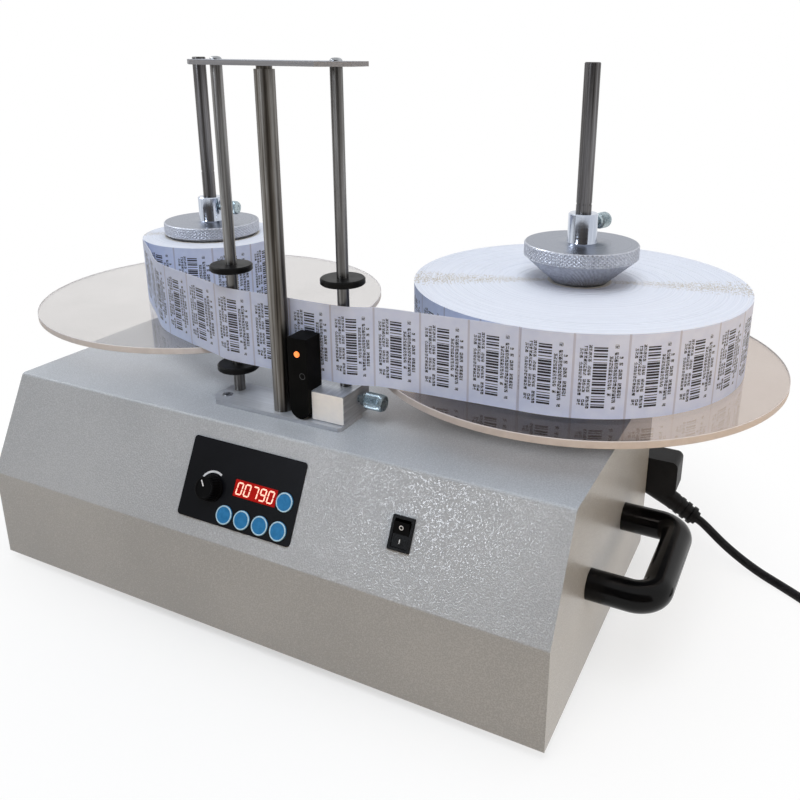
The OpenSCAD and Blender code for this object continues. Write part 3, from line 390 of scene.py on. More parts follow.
# The feet and the base plate: four turned rubber feet under a zinc-plated sheet, which pan-head screws
# fix to the housing's inward returns. Longer screws of the same kind hold the handles from inside.
foot_rubber = make_finish(
    "foot_rubber", "#1c1c1e", 0.8, mirror=0.2, tone=(90, "#151517", "#262628"), grain=(1400, 0.00008))
coat(foot_rubber, "rubber_feet")
zinc_bloom = (35, even, 6.0)
zinc_sheet = make_finish(
    "zinc_sheet", "#8f949b", 0.42, 0.85,
    tone=(zinc_bloom, (0.3, "#858a91"), (0.55, "#989da3"), (0.75, "#a8adb2")),
    wear=(zinc_bloom, 0.34, 0.5), grain=((500, (1, 0.05, 1)), 0.00003))
coat(zinc_sheet, "base_plate")


def box_mm(node):
    """The lowest and highest corners of a CAD node, in mm."""
    return [np.array(corner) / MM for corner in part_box(node)]


def ring(radius, height, steps, about=(0.0, 0.0)):
    angles = np.arange(steps) * 2 * np.pi / steps
    radius = np.broadcast_to(radius, steps)
    height = np.broadcast_to(height, steps)
    return np.stack([about[0] + radius * np.cos(angles), about[1] + radius * np.sin(angles), height], 1)


def lathe(profile, steps, about=(0.0, 0.0)):
    """Rows for a turned piece, from the radius and the height at each step of its profile."""
    return [ring(radius, height, steps, about) for radius, height in profile]


def stood(name, rows, place, axis=(0, 0, 1)):
    """A closed piece from rows made about +Z, stood at a place (mm) with +Z turned to the given axis."""
    turn_to = np.array(Vector((0, 0, 1)).rotation_difference(Vector(axis)).to_matrix())
    return skin(name, np.asarray(rows) @ turn_to.T + np.asarray(place, float), caps=True)


def merge(name, pieces):
    """One object from several, which are used up."""
    points, faces = [], []
    for piece in pieces:
        mesh = piece.data
        faces += [[i + len(points) for i in p.vertices] for p in mesh.polygons]
        points += [v.co[:] for v in mesh.vertices]
        bpy.data.objects.remove(piece)
    mesh = bpy.data.meshes.new(name)
    mesh.from_pydata(points, [], faces)
    mesh.shade_smooth()
    mesh.set_sharp_from_angle(angle=math.radians(35))
    whole = bpy.data.objects.new(name, mesh)
    scene.collection.objects.link(whole)
    return whole


def pan_screw(d, length, head_h):
    """Rows of a pan-head screw that stands on its head's seat, head down, with a cross recess."""
    steps, arm, reach, deep = 48, 0.11 * d, 0.55 * d, 0.3 * d
    rows = lathe([(r * d, -head_h * (1 - 0.35 * r ** 4)) for r in np.linspace(0.02, 1.0, 15)], steps)
    for at in rows:
        near = np.minimum(abs(at[:, 0]), abs(at[:, 1])) < arm
        at[near & (np.hypot(at[:, 0], at[:, 1]) < reach), 2] += deep
    return rows + lathe([(d, -0.15 * head_h), (d * 0.98, 0), (d / 2, 0), (d / 2, length)], steps)


console_low, console_high = box_mm("housing")
foot_h, sheet_t, head_h = console_low[2], 1.5, 2.4
base_screw_d, base_screw_l, base_in_x, base_in_y = 4, 6, 30, 8.5
handle_screw_d, handle_screw_l, handle_y, handle_z, handle_leg = 5, 12, 119, 66, 44
case_set = []
for x in (console_low[0] + base_in_x, 0, console_high[0] - base_in_x):
    for y in (console_low[1] + base_in_y, console_high[1] - base_in_y):
        case_set.append(stood("base_screw", pan_screw(base_screw_d, base_screw_l, head_h), (x, y, foot_h)))
for side in (-1, 1):
    for leg in (-handle_leg, handle_leg):
        seat = (side * (console_high[0] - sheet_t), console_low[1] + handle_y + leg, foot_h + handle_z)
        handle_screw = pan_screw(handle_screw_d, handle_screw_l, head_h)
        case_set.append(stood("handle_screw", handle_screw, seat, (side, 0, 0)))
case_screws = merge("case_screw_set", case_set)
screw_steel = make_finish(
    "screw_steel", "#a3a6aa", 0.3, 1.0, tone=(260, "#8d9094", "#b4b7bb"), wear=(700, 0.22, 0.4))
coat(screw_steel, case_screws)
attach(case_screws, "console")
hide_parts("case_screws")


# The housing: folded 1.5 mm steel sheet with welded ends, finished in a pale grey powder coat. The coat's
# clear skin dries into fine cells, each tipped its own way, which glint where the sloped face mirrors a
# window.
def shared(mat, first, second, part):
    """A part of one amount and the rest of another."""
    return calc(mat, "ADD", calc(mat, "MULTIPLY", first, part), calc(mat, "MULTIPLY", second, 1 - part))


powder_coat = make_finish("powder_coat", "#aeb1b5", 0.45, mirror=0.15)
settle(shade_of(powder_coat), {"Coat Weight": 0.55, "Coat Roughness": 0.05})
powder_spot = add_node(powder_coat, "ShaderNodeTexCoord")
powder_cells = add_node(powder_coat, "ShaderNodeTexVoronoi", Scale=1050.0)
join(powder_coat, powder_spot.outputs["Object"], powder_cells.inputs["Vector"])
powder_dimple = powder_cells.outputs["Distance"]
powder_facet = calc(powder_coat, "MULTIPLY", powder_dimple, powder_cells.outputs["Color"])
powder_cloud = surface_noise(powder_coat, 9, even, 4.0)
powder_tone = shared(powder_coat, powder_cloud, powder_dimple, 0.5)
vary_colour(powder_coat, powder_tone, (0.3, "#9ca0a6"), (0.5, "#a5a9af"), (0.64, "#b1b5bb"))
vary_rough(powder_coat, powder_dimple, 0.38, 0.52)
raise_grain(powder_coat, powder_dimple, 0.00007, 0.8)
raise_grain(powder_coat, powder_facet, 0.00031, layer="Coat Normal")
coat(powder_coat, "housing")


# The control panel: a black film glued to the sloped face, with openings for the display, the keys and the
# knob's shaft. Pale dial marks are printed on it round the speed knob.
front_h, slope_rise, slope_run = 70, 70, 36
slope_lean = math.atan2(slope_rise, slope_run)
slope_foot = np.array([0, console_low[1], foot_h + front_h])
slope_x = np.array([1.0, 0, 0])
slope_up = np.array([0, math.cos(slope_lean), math.sin(slope_lean)])
slope_out = np.array([0, -math.sin(slope_lean), math.cos(slope_lean)])
panel_x, panel_u, film_t, print_t = 1.5, 39.0, 0.8, 0.06
print_top = film_t + print_t


def on_panel(x, u):
    """A spot on the sloped face, from one measured from the panel's middle."""
    return panel_x + x, panel_u + u


def on_slope(points, x, u):
    """Points in mm, measured right, up the slope and outward from a spot on the sloped face."""
    slope_axes = np.array([slope_x, slope_up, slope_out])
    return slope_foot + slope_x * x + slope_up * u + np.asarray(points, float) @ slope_axes


def arc_band(name, r_in, r_out, start, end):
    """A curved mark, printed on the film round the knob between two angles."""
    edge = ((r_out, film_t), (r_out, print_top), (r_in, print_top), (r_in, film_t))
    rows = []
    for a in np.radians(np.linspace(start, end, 40)):
        rows.append([(math.cos(a) * r, math.sin(a) * r, z) for r, z in edge])
    return skin(name, on_slope(rows, *knob_place), caps=True)


def flat_shape(name, outline, low, high, place):
    """A thin plate of the given outline on the sloped face."""
    return skin(name, on_slope([[(*p, z) for p in outline] for z in (low, high)], *place), caps=True)


film_grain = (1600, even, 1.0)
film = make_finish(
    "panel_film", "#0b0c10", 0.35, mirror=0.06,
    tone=(25, "#08090c", "#101116"), wear=(film_grain, 0.3, 0.44), grain=(film_grain, 0.00002))
coat(film, "panel_overlay")

knob_place = on_panel(-22.5, -4.8)
dial_point = [(-12.9, 1.0), (-9.4, 1.0), (-11.3, 4.6)]
dial_marks = merge("dial_marks", [
    arc_band("dial_arc", 10.4, 11.8, 62, 148),
    arc_band("dial_tail", 10.6, 11.5, 172, 226),
    flat_shape("dial_point", dial_point, film_t, print_top, knob_place),
])
print_white = make_finish("print_white", "#d9dbe0", 0.5, tone=(900, "#c9ccd2", "#e4e6ea"))
coat(print_white, dial_marks)
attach(dial_marks, "console")


# The counter display: a window of red plastic set flush in the film. Five seven-segment digits are lit in it,
# each leaning a little to the right. The window itself has a faint painted red glow, standing in for the
# display's light spread through it.
window_place, window_w, window_h, window_deep = on_panel(12.0, -0.1), 34.0, 11.0, 8.0


def box_outline(w, h, x=0.0, y=0.0):
    left, right, low, high = x - w / 2, x + w / 2, y - h / 2, y + h / 2
    return [(left, low), (right, low), (right, high), (left, high)]


window = flat_shape("display_window", box_outline(window_w, window_h), -window_deep, film_t, window_place)
window_red_glow = make_finish("window_red_glow", "#8d0f0d", 0.12, mirror=0.15, tone=(160, "#7f0d0b", "#9c1410"))
# Painted glow: the window's own faint emission stands in for the display's light scattered in it.
settle(shade_of(window_red_glow), {"Emission Color": (0.75, 0.02, 0.015, 1), "Emission Strength": 0.22})
coat(window_red_glow, window)
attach(window, "console")
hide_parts("display_module")

digit_w, digit_h, digit_pitch, stroke, lean, bar_gap = 4.0, 7.6, 6.3, 0.95, 0.12, 0.5
digit_low, digit_top = film_t + 0.01, film_t + 0.07
segments = {
    "a": (0, digit_h / 2), "g": (0, 0), "d": (0, -digit_h / 2),
    "f": (-digit_w / 2, digit_h / 4), "b": (digit_w / 2, digit_h / 4),
    "e": (-digit_w / 2, -digit_h / 4), "c": (digit_w / 2, -digit_h / 4),
}
lit = {"0": "abcdef", "7": "abc", "9": "abcdfg"}
digit_bars = []
for i, figure in enumerate("00790"):
    for key in lit[figure]:
        x, y = segments[key]
        w, h = (digit_w - bar_gap, stroke) if x == 0 else (stroke, digit_h / 2 - bar_gap)
        start = i * digit_pitch - 2 * digit_pitch
        outline = [(start + px + lean * py, py) for px, py in box_outline(w, h, x, y)]
        digit_bars.append(flat_shape("digit_bar", outline, digit_low, digit_top, window_place))
digits = merge("display_digits", digit_bars)
digit_light = make_finish("digit_light", "#ffb39a", 0.4, tone=(500, "#ffa284", "#ffd0be"))
settle(shade_of(digit_light), {"Emission Color": (1.0, 0.62, 0.48, 1), "Emission Strength": 0.7})
coat(digit_light, digits)
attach(digits, "console")


# The keys: five round caps of blue plastic with a pale moulded rim. Each stands in its own hole in the
# film and presses a switch on the board behind.
key_spots = [on_panel(-7.9 + 14.6 * i, -19.4) for i in range(4)] + [on_panel(36.0, -0.6)]
key_top, rim_steps = film_t + 0.9, 64
rim_profile = [
    (5.3, key_top - 0.1), (6.0, key_top - 0.1), (6.28, key_top - 0.25), (6.28, key_top - 0.05),
    (6.0, key_top + 0.16), (5.5, key_top + 0.16),
]
key_blue = make_finish(
    "key_blue", "#2b78b0", 0.4, mirror=0.06,
    tone=(300, "#2671a8", "#3380ba"), wear=(300, 0.32, 0.46), grain=(1800, 0.00003))
rim_pale = make_finish("key_rim", "#a9cfe6", 0.45, tone=(700, "#9cc4de", "#b9dcf0"))
for i, place in enumerate(key_spots):
    node = f"panel_key_{i + 1}"
    rim = skin(f"key_rim_{i + 1}", on_slope(lathe(rim_profile, rim_steps), *place), loop=True, sharp=60)
    coat(key_blue, node)
    coat(rim_pale, rim)
    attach(rim, node)


# The speed knob: a ribbed cap of black plastic with a plain skirt and a white pointer line in its dished
# top. It is pushed onto the control's shaft.
knob_low, knob_high, knob_bore, knob_r = film_t + 0.3, film_t + 9.0, 3.05, 9.0
knob_dish, dish_mid, bore_top = knob_high - 0.25, 0.2, knob_high - 1.5
ribs, rib_deep, knob_steps = 24, 0.42, 288
rib = 0.5 + 0.5 * np.cos(np.arange(knob_steps) * 2 * np.pi / knob_steps * ribs)
knob_profile = [
    (knob_bore, knob_low), (knob_r - 0.1, knob_low), (knob_r, knob_low + 0.3), (knob_r, knob_low + 1.4),
]
for share in np.linspace(0, 1, 6):
    knob_profile.append((8.5 - 0.7 * share - rib_deep * (1 - rib), knob_low + 1.7 + 5.6 * share))
knob_profile += [
    (7.6, knob_high - 0.4), (7.0, knob_high), (6.2, knob_high), (5.9, knob_dish), (dish_mid, knob_dish),
    (dish_mid, bore_top), (knob_bore, bore_top),
]
knob = skin("ribbed_knob", on_slope(lathe(knob_profile, knob_steps), *knob_place), loop=True)
knob_black = make_finish(
    "knob_black", "#050506", 0.42, mirror=0.03,
    tone=(120, "#050506", "#0b0b0c"), wear=(1200, 0.34, 0.52), grain=(1200, 0.00004))
coat(knob_black, knob)


def turned(x, y, angle):
    """A place turned about the origin."""
    return x * math.cos(angle) - y * math.sin(angle), x * math.sin(angle) + y * math.cos(angle)


pointer_turn, pointer_l, pointer_w, pointer_mid = 2.2, 5.0, 0.9, 3.9
pointer_line = [turned(*p, pointer_turn) for p in box_outline(pointer_l, pointer_w, pointer_mid)]
pointer = flat_shape("knob_pointer", pointer_line, knob_high - 0.3, knob_high - 0.19, knob_place)
coat(print_white, pointer)
for piece in (knob, pointer):
    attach(piece, "speed_knob")
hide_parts("speed_knob")


# The power switch: a rocker of black plastic that tilts on two pins in a snapped-in bezel. Its two faces
# dip to the middle and are marked O and I in white.
rocker_place, rocker_tilt = (123.0, 39.6), math.radians(9)
rocker_half, rocker_end_h, pin_depth = 7.8, 4.5, 2.0
mark_u, mark_t, o_in, o_out, i_w, i_h = 4.3, 0.08, 0.95, 1.5, 0.55, 2.6
switch_black = make_finish(
    "switch_black", "#09090a", 0.3, mirror=0.04,
    tone=(150, "#060607", "#0d0d0e"), wear=(1500, 0.25, 0.4), grain=(1500, 0.00002))
coat(switch_black, "rocker_bezel", "rocker")


def on_rocker(points, half):
    """Points on one of the rocker's two faces; half is -1 for the lower one and 1 for the upper."""
    x, y, z = np.moveaxis(np.asarray(points, float), -1, 0)
    y, z = turned(y, z, rocker_tilt * half)
    y, z = turned(y, z + rocker_end_h - rocker_half * math.tan(rocker_tilt), rocker_tilt)
    return on_slope(np.stack([x, y, z - pin_depth], -1), *rocker_place)


o_rows = lathe([(o_in, 0.0), (o_out, 0.0), (o_out, mark_t), (o_in, mark_t)], 48, (0, mark_u))
i_rows = [[(*p, z) for p in box_outline(i_w, i_h, 0, -mark_u)] for z in (0.0, mark_t)]
mark_o = skin("mark_o", on_rocker(o_rows, 1), loop=True)
mark_i = skin("mark_i", on_rocker(i_rows, -1), caps=True)
switch_marks = merge("switch_marks", [mark_o, mark_i])
coat(print_white, switch_marks)
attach(switch_marks, "rocker")


# The carry handles: bent round bars moulded in glossy black plastic, with a faint ripple. They are screwed
# to the ends of the housing from inside.
handle_black = make_finish(
    "handle_black", "#070708", 0.14, mirror=0.16,
    tone=(70, "#050506", "#0b0b0c"), wear=(260, 0.1, 0.24), grain=(70, 0.00015, 0.4))
coat(handle_black, "handle_left", "handle_right")


# Inside the housing: the control board and the power supply, the gear motor with its belt and pulleys,
# and the felt brake under the supply spindle. The bearing housings and, above, the disc hubs are turned
# from aluminium.
board_green = make_finish(
    "board_green", "#2f6b4a", 0.4, tone=(180, (0.35, "#245a3c"), (0.65, "#3a7a56")), grain=(900, 0.00005))
coat(board_green, "control_board")
case_alloy = make_finish(
    "case_alloy", "#b9bcc0", 0.38, 0.9, tone=((90, (1, 0.1, 1)), "#a8abb0", "#c8cbcf"), wear=(400, 0.3, 0.46))
coat(case_alloy, "power_supply")
motor_grey = make_finish(
    "motor_grey", "#55595f", 0.45, tone=(60, "#4a4e54", "#62666c"), grain=(800, 0.00008))
coat(motor_grey, "gear_motor")
belt_rubber = make_finish(
    "belt_rubber", "#232427", 0.75, tone=(160, "#1b1c1e", "#2e2f32"), grain=((900, (1, 1, 0.1)), 0.0001))
coat(belt_rubber, "drive_belt")
brake_felt = make_finish(
    "brake_felt", "#6b5a45", 0.95,
    tone=((700, even, 6.0), "#574835", "#807058"), grain=((1100, even, 6.0), 0.0003))
coat(brake_felt, "brake_felt")
lathe_marks = (0.1, 0.1, 1)
pulley_alloy = make_finish(
    "pulley_alloy", "#c2c5c9", 0.3, 1.0,
    tone=((500, lathe_marks), "#b2b5ba", "#d0d3d7"), wear=((800, lathe_marks), 0.24, 0.4))
coat(pulley_alloy, "takeup_pulley", "motor_pulley", "brake_collar")
bearing_bright = make_finish(
    "bearing_bright", "#c7c9cc", 0.16, 1.0, tone=(300, "#b9bbbf", "#d6d8db"), wear=(600, 0.12, 0.24))
coat(bearing_bright, "spindle_bearings")
hub_marks, hub_grooves = (0.15, 0.15, 1), (0.05, 0.05, 1)
turned_alloy = make_finish(
    "turned_alloy", "#a9adb3", 0.34, 1.0, tone=((420, hub_marks), "#999da3", "#b8bcc2"),
    wear=((900, hub_marks), 0.28, 0.44), grain=((1500, hub_grooves), 0.00003))
coat(turned_alloy, "bearing_housings", "takeup_disc_hub", "supply_disc_hub")


# The spindles and the guide's rods and post: ground steel bar, with dark and pale streaks along its
# length that are partly wear and partly painted reflection, standing for the bright and dark bands that a
# round bar mirrors. The spindles stand in the bearings, the rods and the post between the guide's plates.
def ground_bar(name, fineness, *stops):
    """Steel bar: streaks along its length, finer with fineness, over broad stains. The streaks are partly wear
    and partly painted reflection.
    """
    mat = make_finish(name, stops[1][1], 0.3, 1.0)
    streak_wear_and_sheen = surface_noise(mat, fineness, (1, 1, 0.012), 4.0)
    stain = surface_noise(mat, 60, (1, 1, 0.12), 5.0)
    # The streaks' dark and pale colours are painted reflection as well as wear.
    vary_colour(mat, shared(mat, streak_wear_and_sheen, stain, 0.6), *stops)
    vary_rough(mat, streak_wear_and_sheen, 0.28, 0.48)
    raise_grain(mat, streak_wear_and_sheen, 0.00004)
    return mat


spindle_steel = ground_bar("spindle_steel", 700, (0.36, "#33302e"), (0.5, "#5c5a5a"), (0.64, "#868587"))
coat(spindle_steel, "takeup_shaft", "supply_shaft")
rod_steel = ground_bar("rod_steel", 700, (0.36, "#3b3836"), (0.5, "#6c6a68"), (0.64, "#9a9998"))
coat(rod_steel, "guide_rod_left", "guide_rod_right")
post_stops = ((0.36, "#2c2824"), (0.46, "#5a554f"), (0.55, "#827f7b"), (0.64, "#9d9c9a"))
coat(ground_bar("post_steel", 420, *post_stops), "guide_post")


# The discs: clear acrylic sheet, 5 mm thick, with polished faces, a small bevel and a sawn rim that scatters
# the light; the take-up disc has aged to a warm tint. Each sits on the hub under it.
disc_bore, disc_mid, disc_edge, disc_steps = 5.55, 60, 0.4, 288
rim_bands = (2, 3, 4)
disc_tints = {"takeup": ("#beb0a7", "#c7bab2"), "supply": ("#cdcac9", "#d6d3d2")}
edge_tints = {"takeup": ("#c4bcbb", "#cfc8c7"), "supply": ("#cbc7c9", "#d8d4d6")}


def acrylic(name, dark, pale):
    """Clear sheet, tinted between two colours by a faint haze. Lamps shine through it, so that it throws
    only a pale shadow."""
    haze = (14, even, 5.0)
    mat = make_finish(name, pale, 0.03, tone=(haze, dark, pale), wear=(haze, 0.0, 0.05))
    settle(shade_of(mat), {"Transmission Weight": 1.0, "IOR": 1.49})
    clear = add_node(mat, "ShaderNodeBsdfTransparent", Color=tint("#eeecea"))
    shadow_ray = add_node(mat, "ShaderNodeLightPath").outputs["Is Shadow Ray"]
    shown = mix(mat, shadow_ray, shade_of(mat), clear)
    join(mat, shown.outputs[0], mat.node_tree.nodes["Material Output"].inputs[0])
    return mat


axes = {}
for side in ("takeup", "supply"):
    low, high = box_mm(f"{side}_disc")
    about = axes[side] = tuple((low + high)[:2] / 2)
    disc_r, z0, z1 = (high[0] - low[0]) / 2, low[2], high[2]
    disc_profile = [
        (disc_bore, z0), (disc_mid, z0), (disc_r - disc_edge, z0), (disc_r, z0 + disc_edge),
        (disc_r, z1 - disc_edge), (disc_r - disc_edge, z1), (disc_mid, z1), (disc_bore, z1),
    ]
    disc = skin(f"{side}_clear_disc", lathe(disc_profile, disc_steps, about), loop=True, sharp=30)
    coat(acrylic(f"{side}_acrylic", *disc_tints[side]), disc)
    dark, pale = edge_tints[side]
    sawn_edge = make_finish(f"{side}_edge", pale, 0.5, tone=(140, dark, pale), wear=(140, 0.35, 0.6))
    disc.data.materials.append(sawn_edge)
    for face in disc.data.polygons:
        face.material_index = 1 if face.index // disc_steps in rim_bands else 0
    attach(disc, f"{side}_spindle")
    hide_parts(f"{side}_disc")


# The cores and rolls: labels on a release liner, wound on wide card tubes. The edges of the windings show
# as fine rings on top, with a scatter of tan liner where the gaps between labels fall on one another.
core_card = make_finish(
    "core_card", "#d3cfc6", 0.8,
    tone=((300, (1, 1, 0.2), 5.0), "#c6c1b6", "#dedad2"), grain=(1200, 0.0001))
coat(core_card, "takeup_core", "supply_core")


def product(mat, *values):
    """Several amounts multiplied together."""
    made = values[0]
    for value in values[1:]:
        made = calc(mat, "MULTIPLY", made, value)
    return made


def between(mat, value, low, high):
    return product(mat, calc(mat, "GREATER_THAN", value, low), calc(mat, "LESS_THAN", value, high))


def scatter(mat, a, b, seed):
    """A fixed random number for each cell of a grid."""
    cell = add_node(mat, "ShaderNodeCombineXYZ", Z=seed)
    join(mat, a, cell.inputs["X"])
    join(mat, b, cell.inputs["Y"])
    dice = add_node(mat, "ShaderNodeTexWhiteNoise")
    join(mat, cell.outputs[0], dice.inputs["Vector"])
    return dice.outputs["Value"]


def cells(mat, value, count):
    """Which of a row of cells a place falls in, and how far through it."""
    scaled = product(mat, value, count)
    return calc(mat, "FLOOR", scaled), calc(mat, "FRACT", scaled)


def overlay(mat, amount, under, colour):
    """A colour laid over what is under it, by an amount."""
    made = add_node(mat, "ShaderNodeMix")
    made.data_type = "RGBA"
    sockets = {s.identifier: s for s in made.inputs}
    sockets["B_Color"].default_value = tint(colour)
    join(mat, amount, sockets["Factor_Float"])
    join(mat, under, sockets["A_Color"])
    return next(s for s in made.outputs if s.identifier == "Result_Color")


def text_columns(mat, across, up, low, high, seed):
    """Columns of small illegible marks, running up the label between two places across it."""
    columns, lines, fine_across, fine_up = 3, 25, 120, 150
    margin, uneven = 0.1, 0.16
    place = calc(mat, "DIVIDE", calc(mat, "SUBTRACT", across, low), high - low)
    column, in_column = cells(mat, place, columns)
    row, in_row = cells(mat, up, lines)
    fine_x, _ = cells(mat, across, fine_across)
    fine_y, _ = cells(mat, up, fine_up)
    shift = product(mat, scatter(mat, column, column, seed + 2), uneven)
    return product(
        mat,
        between(mat, in_column, 0.06, 0.84),
        calc(mat, "LESS_THAN", in_row, 0.84),
        between(mat, across, low, high),
        calc(mat, "GREATER_THAN", scatter(mat, column, row, seed), 0.16),
        calc(mat, "GREATER_THAN", scatter(mat, fine_x, fine_y, seed + 1), 0.3),
        between(mat, up, calc(mat, "ADD", shift, margin), calc(mat, "SUBTRACT", 1 - margin, shift)),
    )


label_pitch, bar_lines, label_gap, gap_shade_share, ink_tint = 33.0, 30, 0.022, 0.6, 0.98
label_face = make_finish("label_face", "#cfd3e6", 0.5, mirror=0.3, grain=(900, 0.00003))
label_map = add_node(label_face, "ShaderNodeUVMap")
label_map.uv_map = "labels"
label_place = add_node(label_face, "ShaderNodeSeparateXYZ")
join(label_face, label_map.outputs[0], label_place.inputs[0])
label_x = calc(label_face, "FRACT", label_place.outputs["X"])
label_y = label_place.outputs["Y"]
bar_row, in_bar = cells(label_face, label_y, bar_lines)
bar_share = product(label_face, scatter(label_face, bar_row, bar_row, 3.5), 0.6)
bar_share = calc(label_face, "ADD", 0.22, bar_share)
bar_code = product(
    label_face, calc(label_face, "LESS_THAN", in_bar, bar_share),
    between(label_face, label_x, 0.355, 0.605), between(label_face, label_y, 0.13, 0.85))
left_text = text_columns(label_face, label_x, label_y, 0.10, 0.335, 11.5)
right_text = text_columns(label_face, label_x, label_y, 0.635, 0.91, 29.5)
ink = calc(label_face, "MAXIMUM", bar_code, calc(label_face, "MAXIMUM", left_text, right_text))
# The gaps between labels show the liner, darkened further by a painted shade line along the labels' edges.
gap_liner_shade = calc(label_face, "SUBTRACT", 1.0, between(label_face, label_x, label_gap, 1 - label_gap))
label_tone = vary_colour(label_face, surface_noise(label_face, 120), "#cedafa", "#d8e3ff")
label_tone = overlay(label_face, product(label_face, gap_liner_shade, gap_shade_share), label_tone, "#aeadc0")
label_tone = overlay(label_face, product(label_face, ink, ink_tint), label_tone, "#14131b")
join(label_face, label_tone, shade_of(label_face).inputs["Base Color"])
liner = make_finish(
    "release_liner", "#d8dae4", 0.4, tone=(200, "#cdd0dc", "#e0e2eb"), wear=(60, 0.34, 0.48))


def ring_noise(mat, about, scale, detail):
    """Noise in fine rings about an upright axis (mm), with how far a place is from it and on which side."""
    centred = add_node(mat, "ShaderNodeMapping", Location=(-about[0] * MM, -about[1] * MM, 0))
    parts = add_node(mat, "ShaderNodeSeparateXYZ")
    join(mat, add_node(mat, "ShaderNodeTexCoord").outputs["Object"], centred.inputs["Vector"])
    join(mat, centred.outputs[0], parts.inputs[0])
    x, y = parts.outputs["X"], parts.outputs["Y"]
    radius = calc(mat, "SQRT", calc(mat, "ADD", product(mat, x, x), product(mat, y, y)))
    along = add_node(mat, "ShaderNodeCombineXYZ")
    join(mat, radius, along.inputs["X"])
    noise = add_node(mat, "ShaderNodeTexNoise", Scale=scale, Detail=detail)
    join(mat, along.outputs[0], noise.inputs["Vector"])
    return noise.outputs["Fac"], radius, x, y


def winding_edges(name, about, gap_angles):
    """The finish of a roll's flat faces: one fine ring for each winding round the given axis (mm)."""
    mat = make_finish(name, "#dfe2ec", 0.6)
    rings, radius, x, y = ring_noise(mat, about, 1500.0, 3.0)
    angle = calc(mat, "ARCTAN2", y, x)
    paper = vary_colour(mat, rings, (0.34, "#cbced9"), (0.5, "#dadde7"), (0.66, "#e4e6ee"))
    speck_r, _ = cells(mat, radius, 1400)
    speck_a, _ = cells(mat, angle, 90)
    speck = scatter(mat, speck_r, speck_a, 5.5)
    spread, most, speck_tint = 0.2, 0.5, 0.7
    for turned_to in gap_angles:
        off = calc(mat, "ABSOLUTE", calc(mat, "SUBTRACT", angle, math.radians(turned_to)))
        near = calc(mat, "MAXIMUM", calc(mat, "SUBTRACT", 1.0, calc(mat, "DIVIDE", off, spread)), 0.0)
        shown = calc(mat, "GREATER_THAN", speck, calc(mat, "SUBTRACT", 1.0, product(mat, near, most)))
        paper = overlay(mat, product(mat, shown, speck_tint), paper, "#a8997c")
    join(mat, paper, shade_of(mat).inputs["Base Color"])
    raise_grain(mat, rings, 0.0004, 0.5)
    return mat


def print_labels(piece, corners):
    """Prints labels on faces: corners gives a face's four places on the label map for each printed face."""
    layer = piece.data.uv_layers.new(name="labels")
    for face, places in corners.items():
        piece.data.polygons[face].material_index = 1
        for corner, place in zip(piece.data.polygons[face].loop_indices, places):
            layer.data[corner].uv = place


def label_roll(name, node, about, r_in, meet_angle, meet_length, edges, seed):
    """A wound roll: printed outside, fine uneven rings on top. Its labels are counted from the place where
    the web meets it."""
    low, high = box_mm(node)
    r_out, z0, z1 = (high[0] - low[0]) / 2, low[2], high[2]
    steps, lip, deepest = 240, 0.15, 0.22
    dice = np.random.default_rng(seed)
    profile = [(r_in, z0), (r_out, z0), (r_out, z1 - lip)]
    r = r_out - lip
    while r > r_in + 1.0:
        drop = dice.uniform(0, deepest)
        width = dice.uniform(0.5, 1.3)
        profile += [(r, z1 - drop), (r - width + 0.1, z1 - drop)]
        r -= width
    profile.append((r_in, z1 - 0.1))
    piece = skin(name, lathe(profile, steps, about), loop=True)
    coat(edges, piece)
    piece.data.materials.append(label_face)
    turn_step = 2 * math.pi / steps
    printed = {}
    for k in range(steps):
        gone = (k * turn_step - math.radians(meet_angle)) % (2 * math.pi)
        u0, u1 = ((meet_length + r_out * a) / label_pitch for a in (gone, gone + turn_step))
        printed[steps + k] = ((u0, 0), (u1, 0), (u1, 1), (u0, 1))
    print_labels(piece, printed)
    return piece


supply_low, supply_high = box_mm("supply_roll")
air, supply_r, takeup_r = 0.3, 59.5, 120
web_low, web_h = supply_low[2] + air, supply_high[2] - supply_low[2]
web_t, web_y, web_steps = 0.3, -100.45, 6
leave_deg = -128
leave_angle = math.radians(leave_deg)
leave_out = np.array([math.cos(leave_angle), math.sin(leave_angle)])
leave_way = np.array([-math.sin(leave_angle), math.cos(leave_angle)])
leave_at = np.array(axes["supply"]) + (supply_r + air + web_t) * leave_out
web_end = np.array([axes["takeup"][0], axes["takeup"][1] - takeup_r - air - web_t])
rod_xs, rod_y, post_x = (-48.0, 45.0), -94.5, 1.9
web_stops = [
    (*leave_at, 0), (*(leave_at + 45 * leave_way), 0), (*(leave_at + 90 * leave_way), 0),
    (rod_xs[0] - 50, web_y + 10, 0), (rod_xs[0] - 32, web_y + 4.5, 0), (rod_xs[0] - 14, web_y + 1.2, -1.5),
    (rod_xs[0], web_y, -3), (post_x, web_y, -3), (rod_xs[1], web_y, -3),
    (rod_xs[1] + 18, web_y + 0.4, -1.5), (rod_xs[1] + 34, web_y + 1.2, 0),
    ((rod_xs[1] + 34 + web_end[0]) / 2, (web_y + 1.2 + web_end[1]) / 2, 0), (*web_end, 0),
]
web_path = smooth_route(np.array(web_stops), web_steps)
web_gone = np.concatenate([[0], np.cumsum(np.linalg.norm(np.diff(web_path[:, :2], axis=0), axis=1))])
web_length = float(web_gone[-1])

for side, r_in, meet_angle, meet_length, gap_angles, seed in (
    ("takeup", 23.05, -90, 0, (-155, 15), 7),
    ("supply", 41.05, leave_deg, -web_length - 2 * math.pi * supply_r, (-150,), 8),
):
    node, about = f"{side}_roll", axes[side]
    edges = winding_edges(f"{side}_winding", about, gap_angles)
    roll = label_roll(f"{side}_label_roll", node, about, r_in, meet_angle, meet_length, edges, seed)
    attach(roll, f"{side}_spindle")
    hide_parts(node)


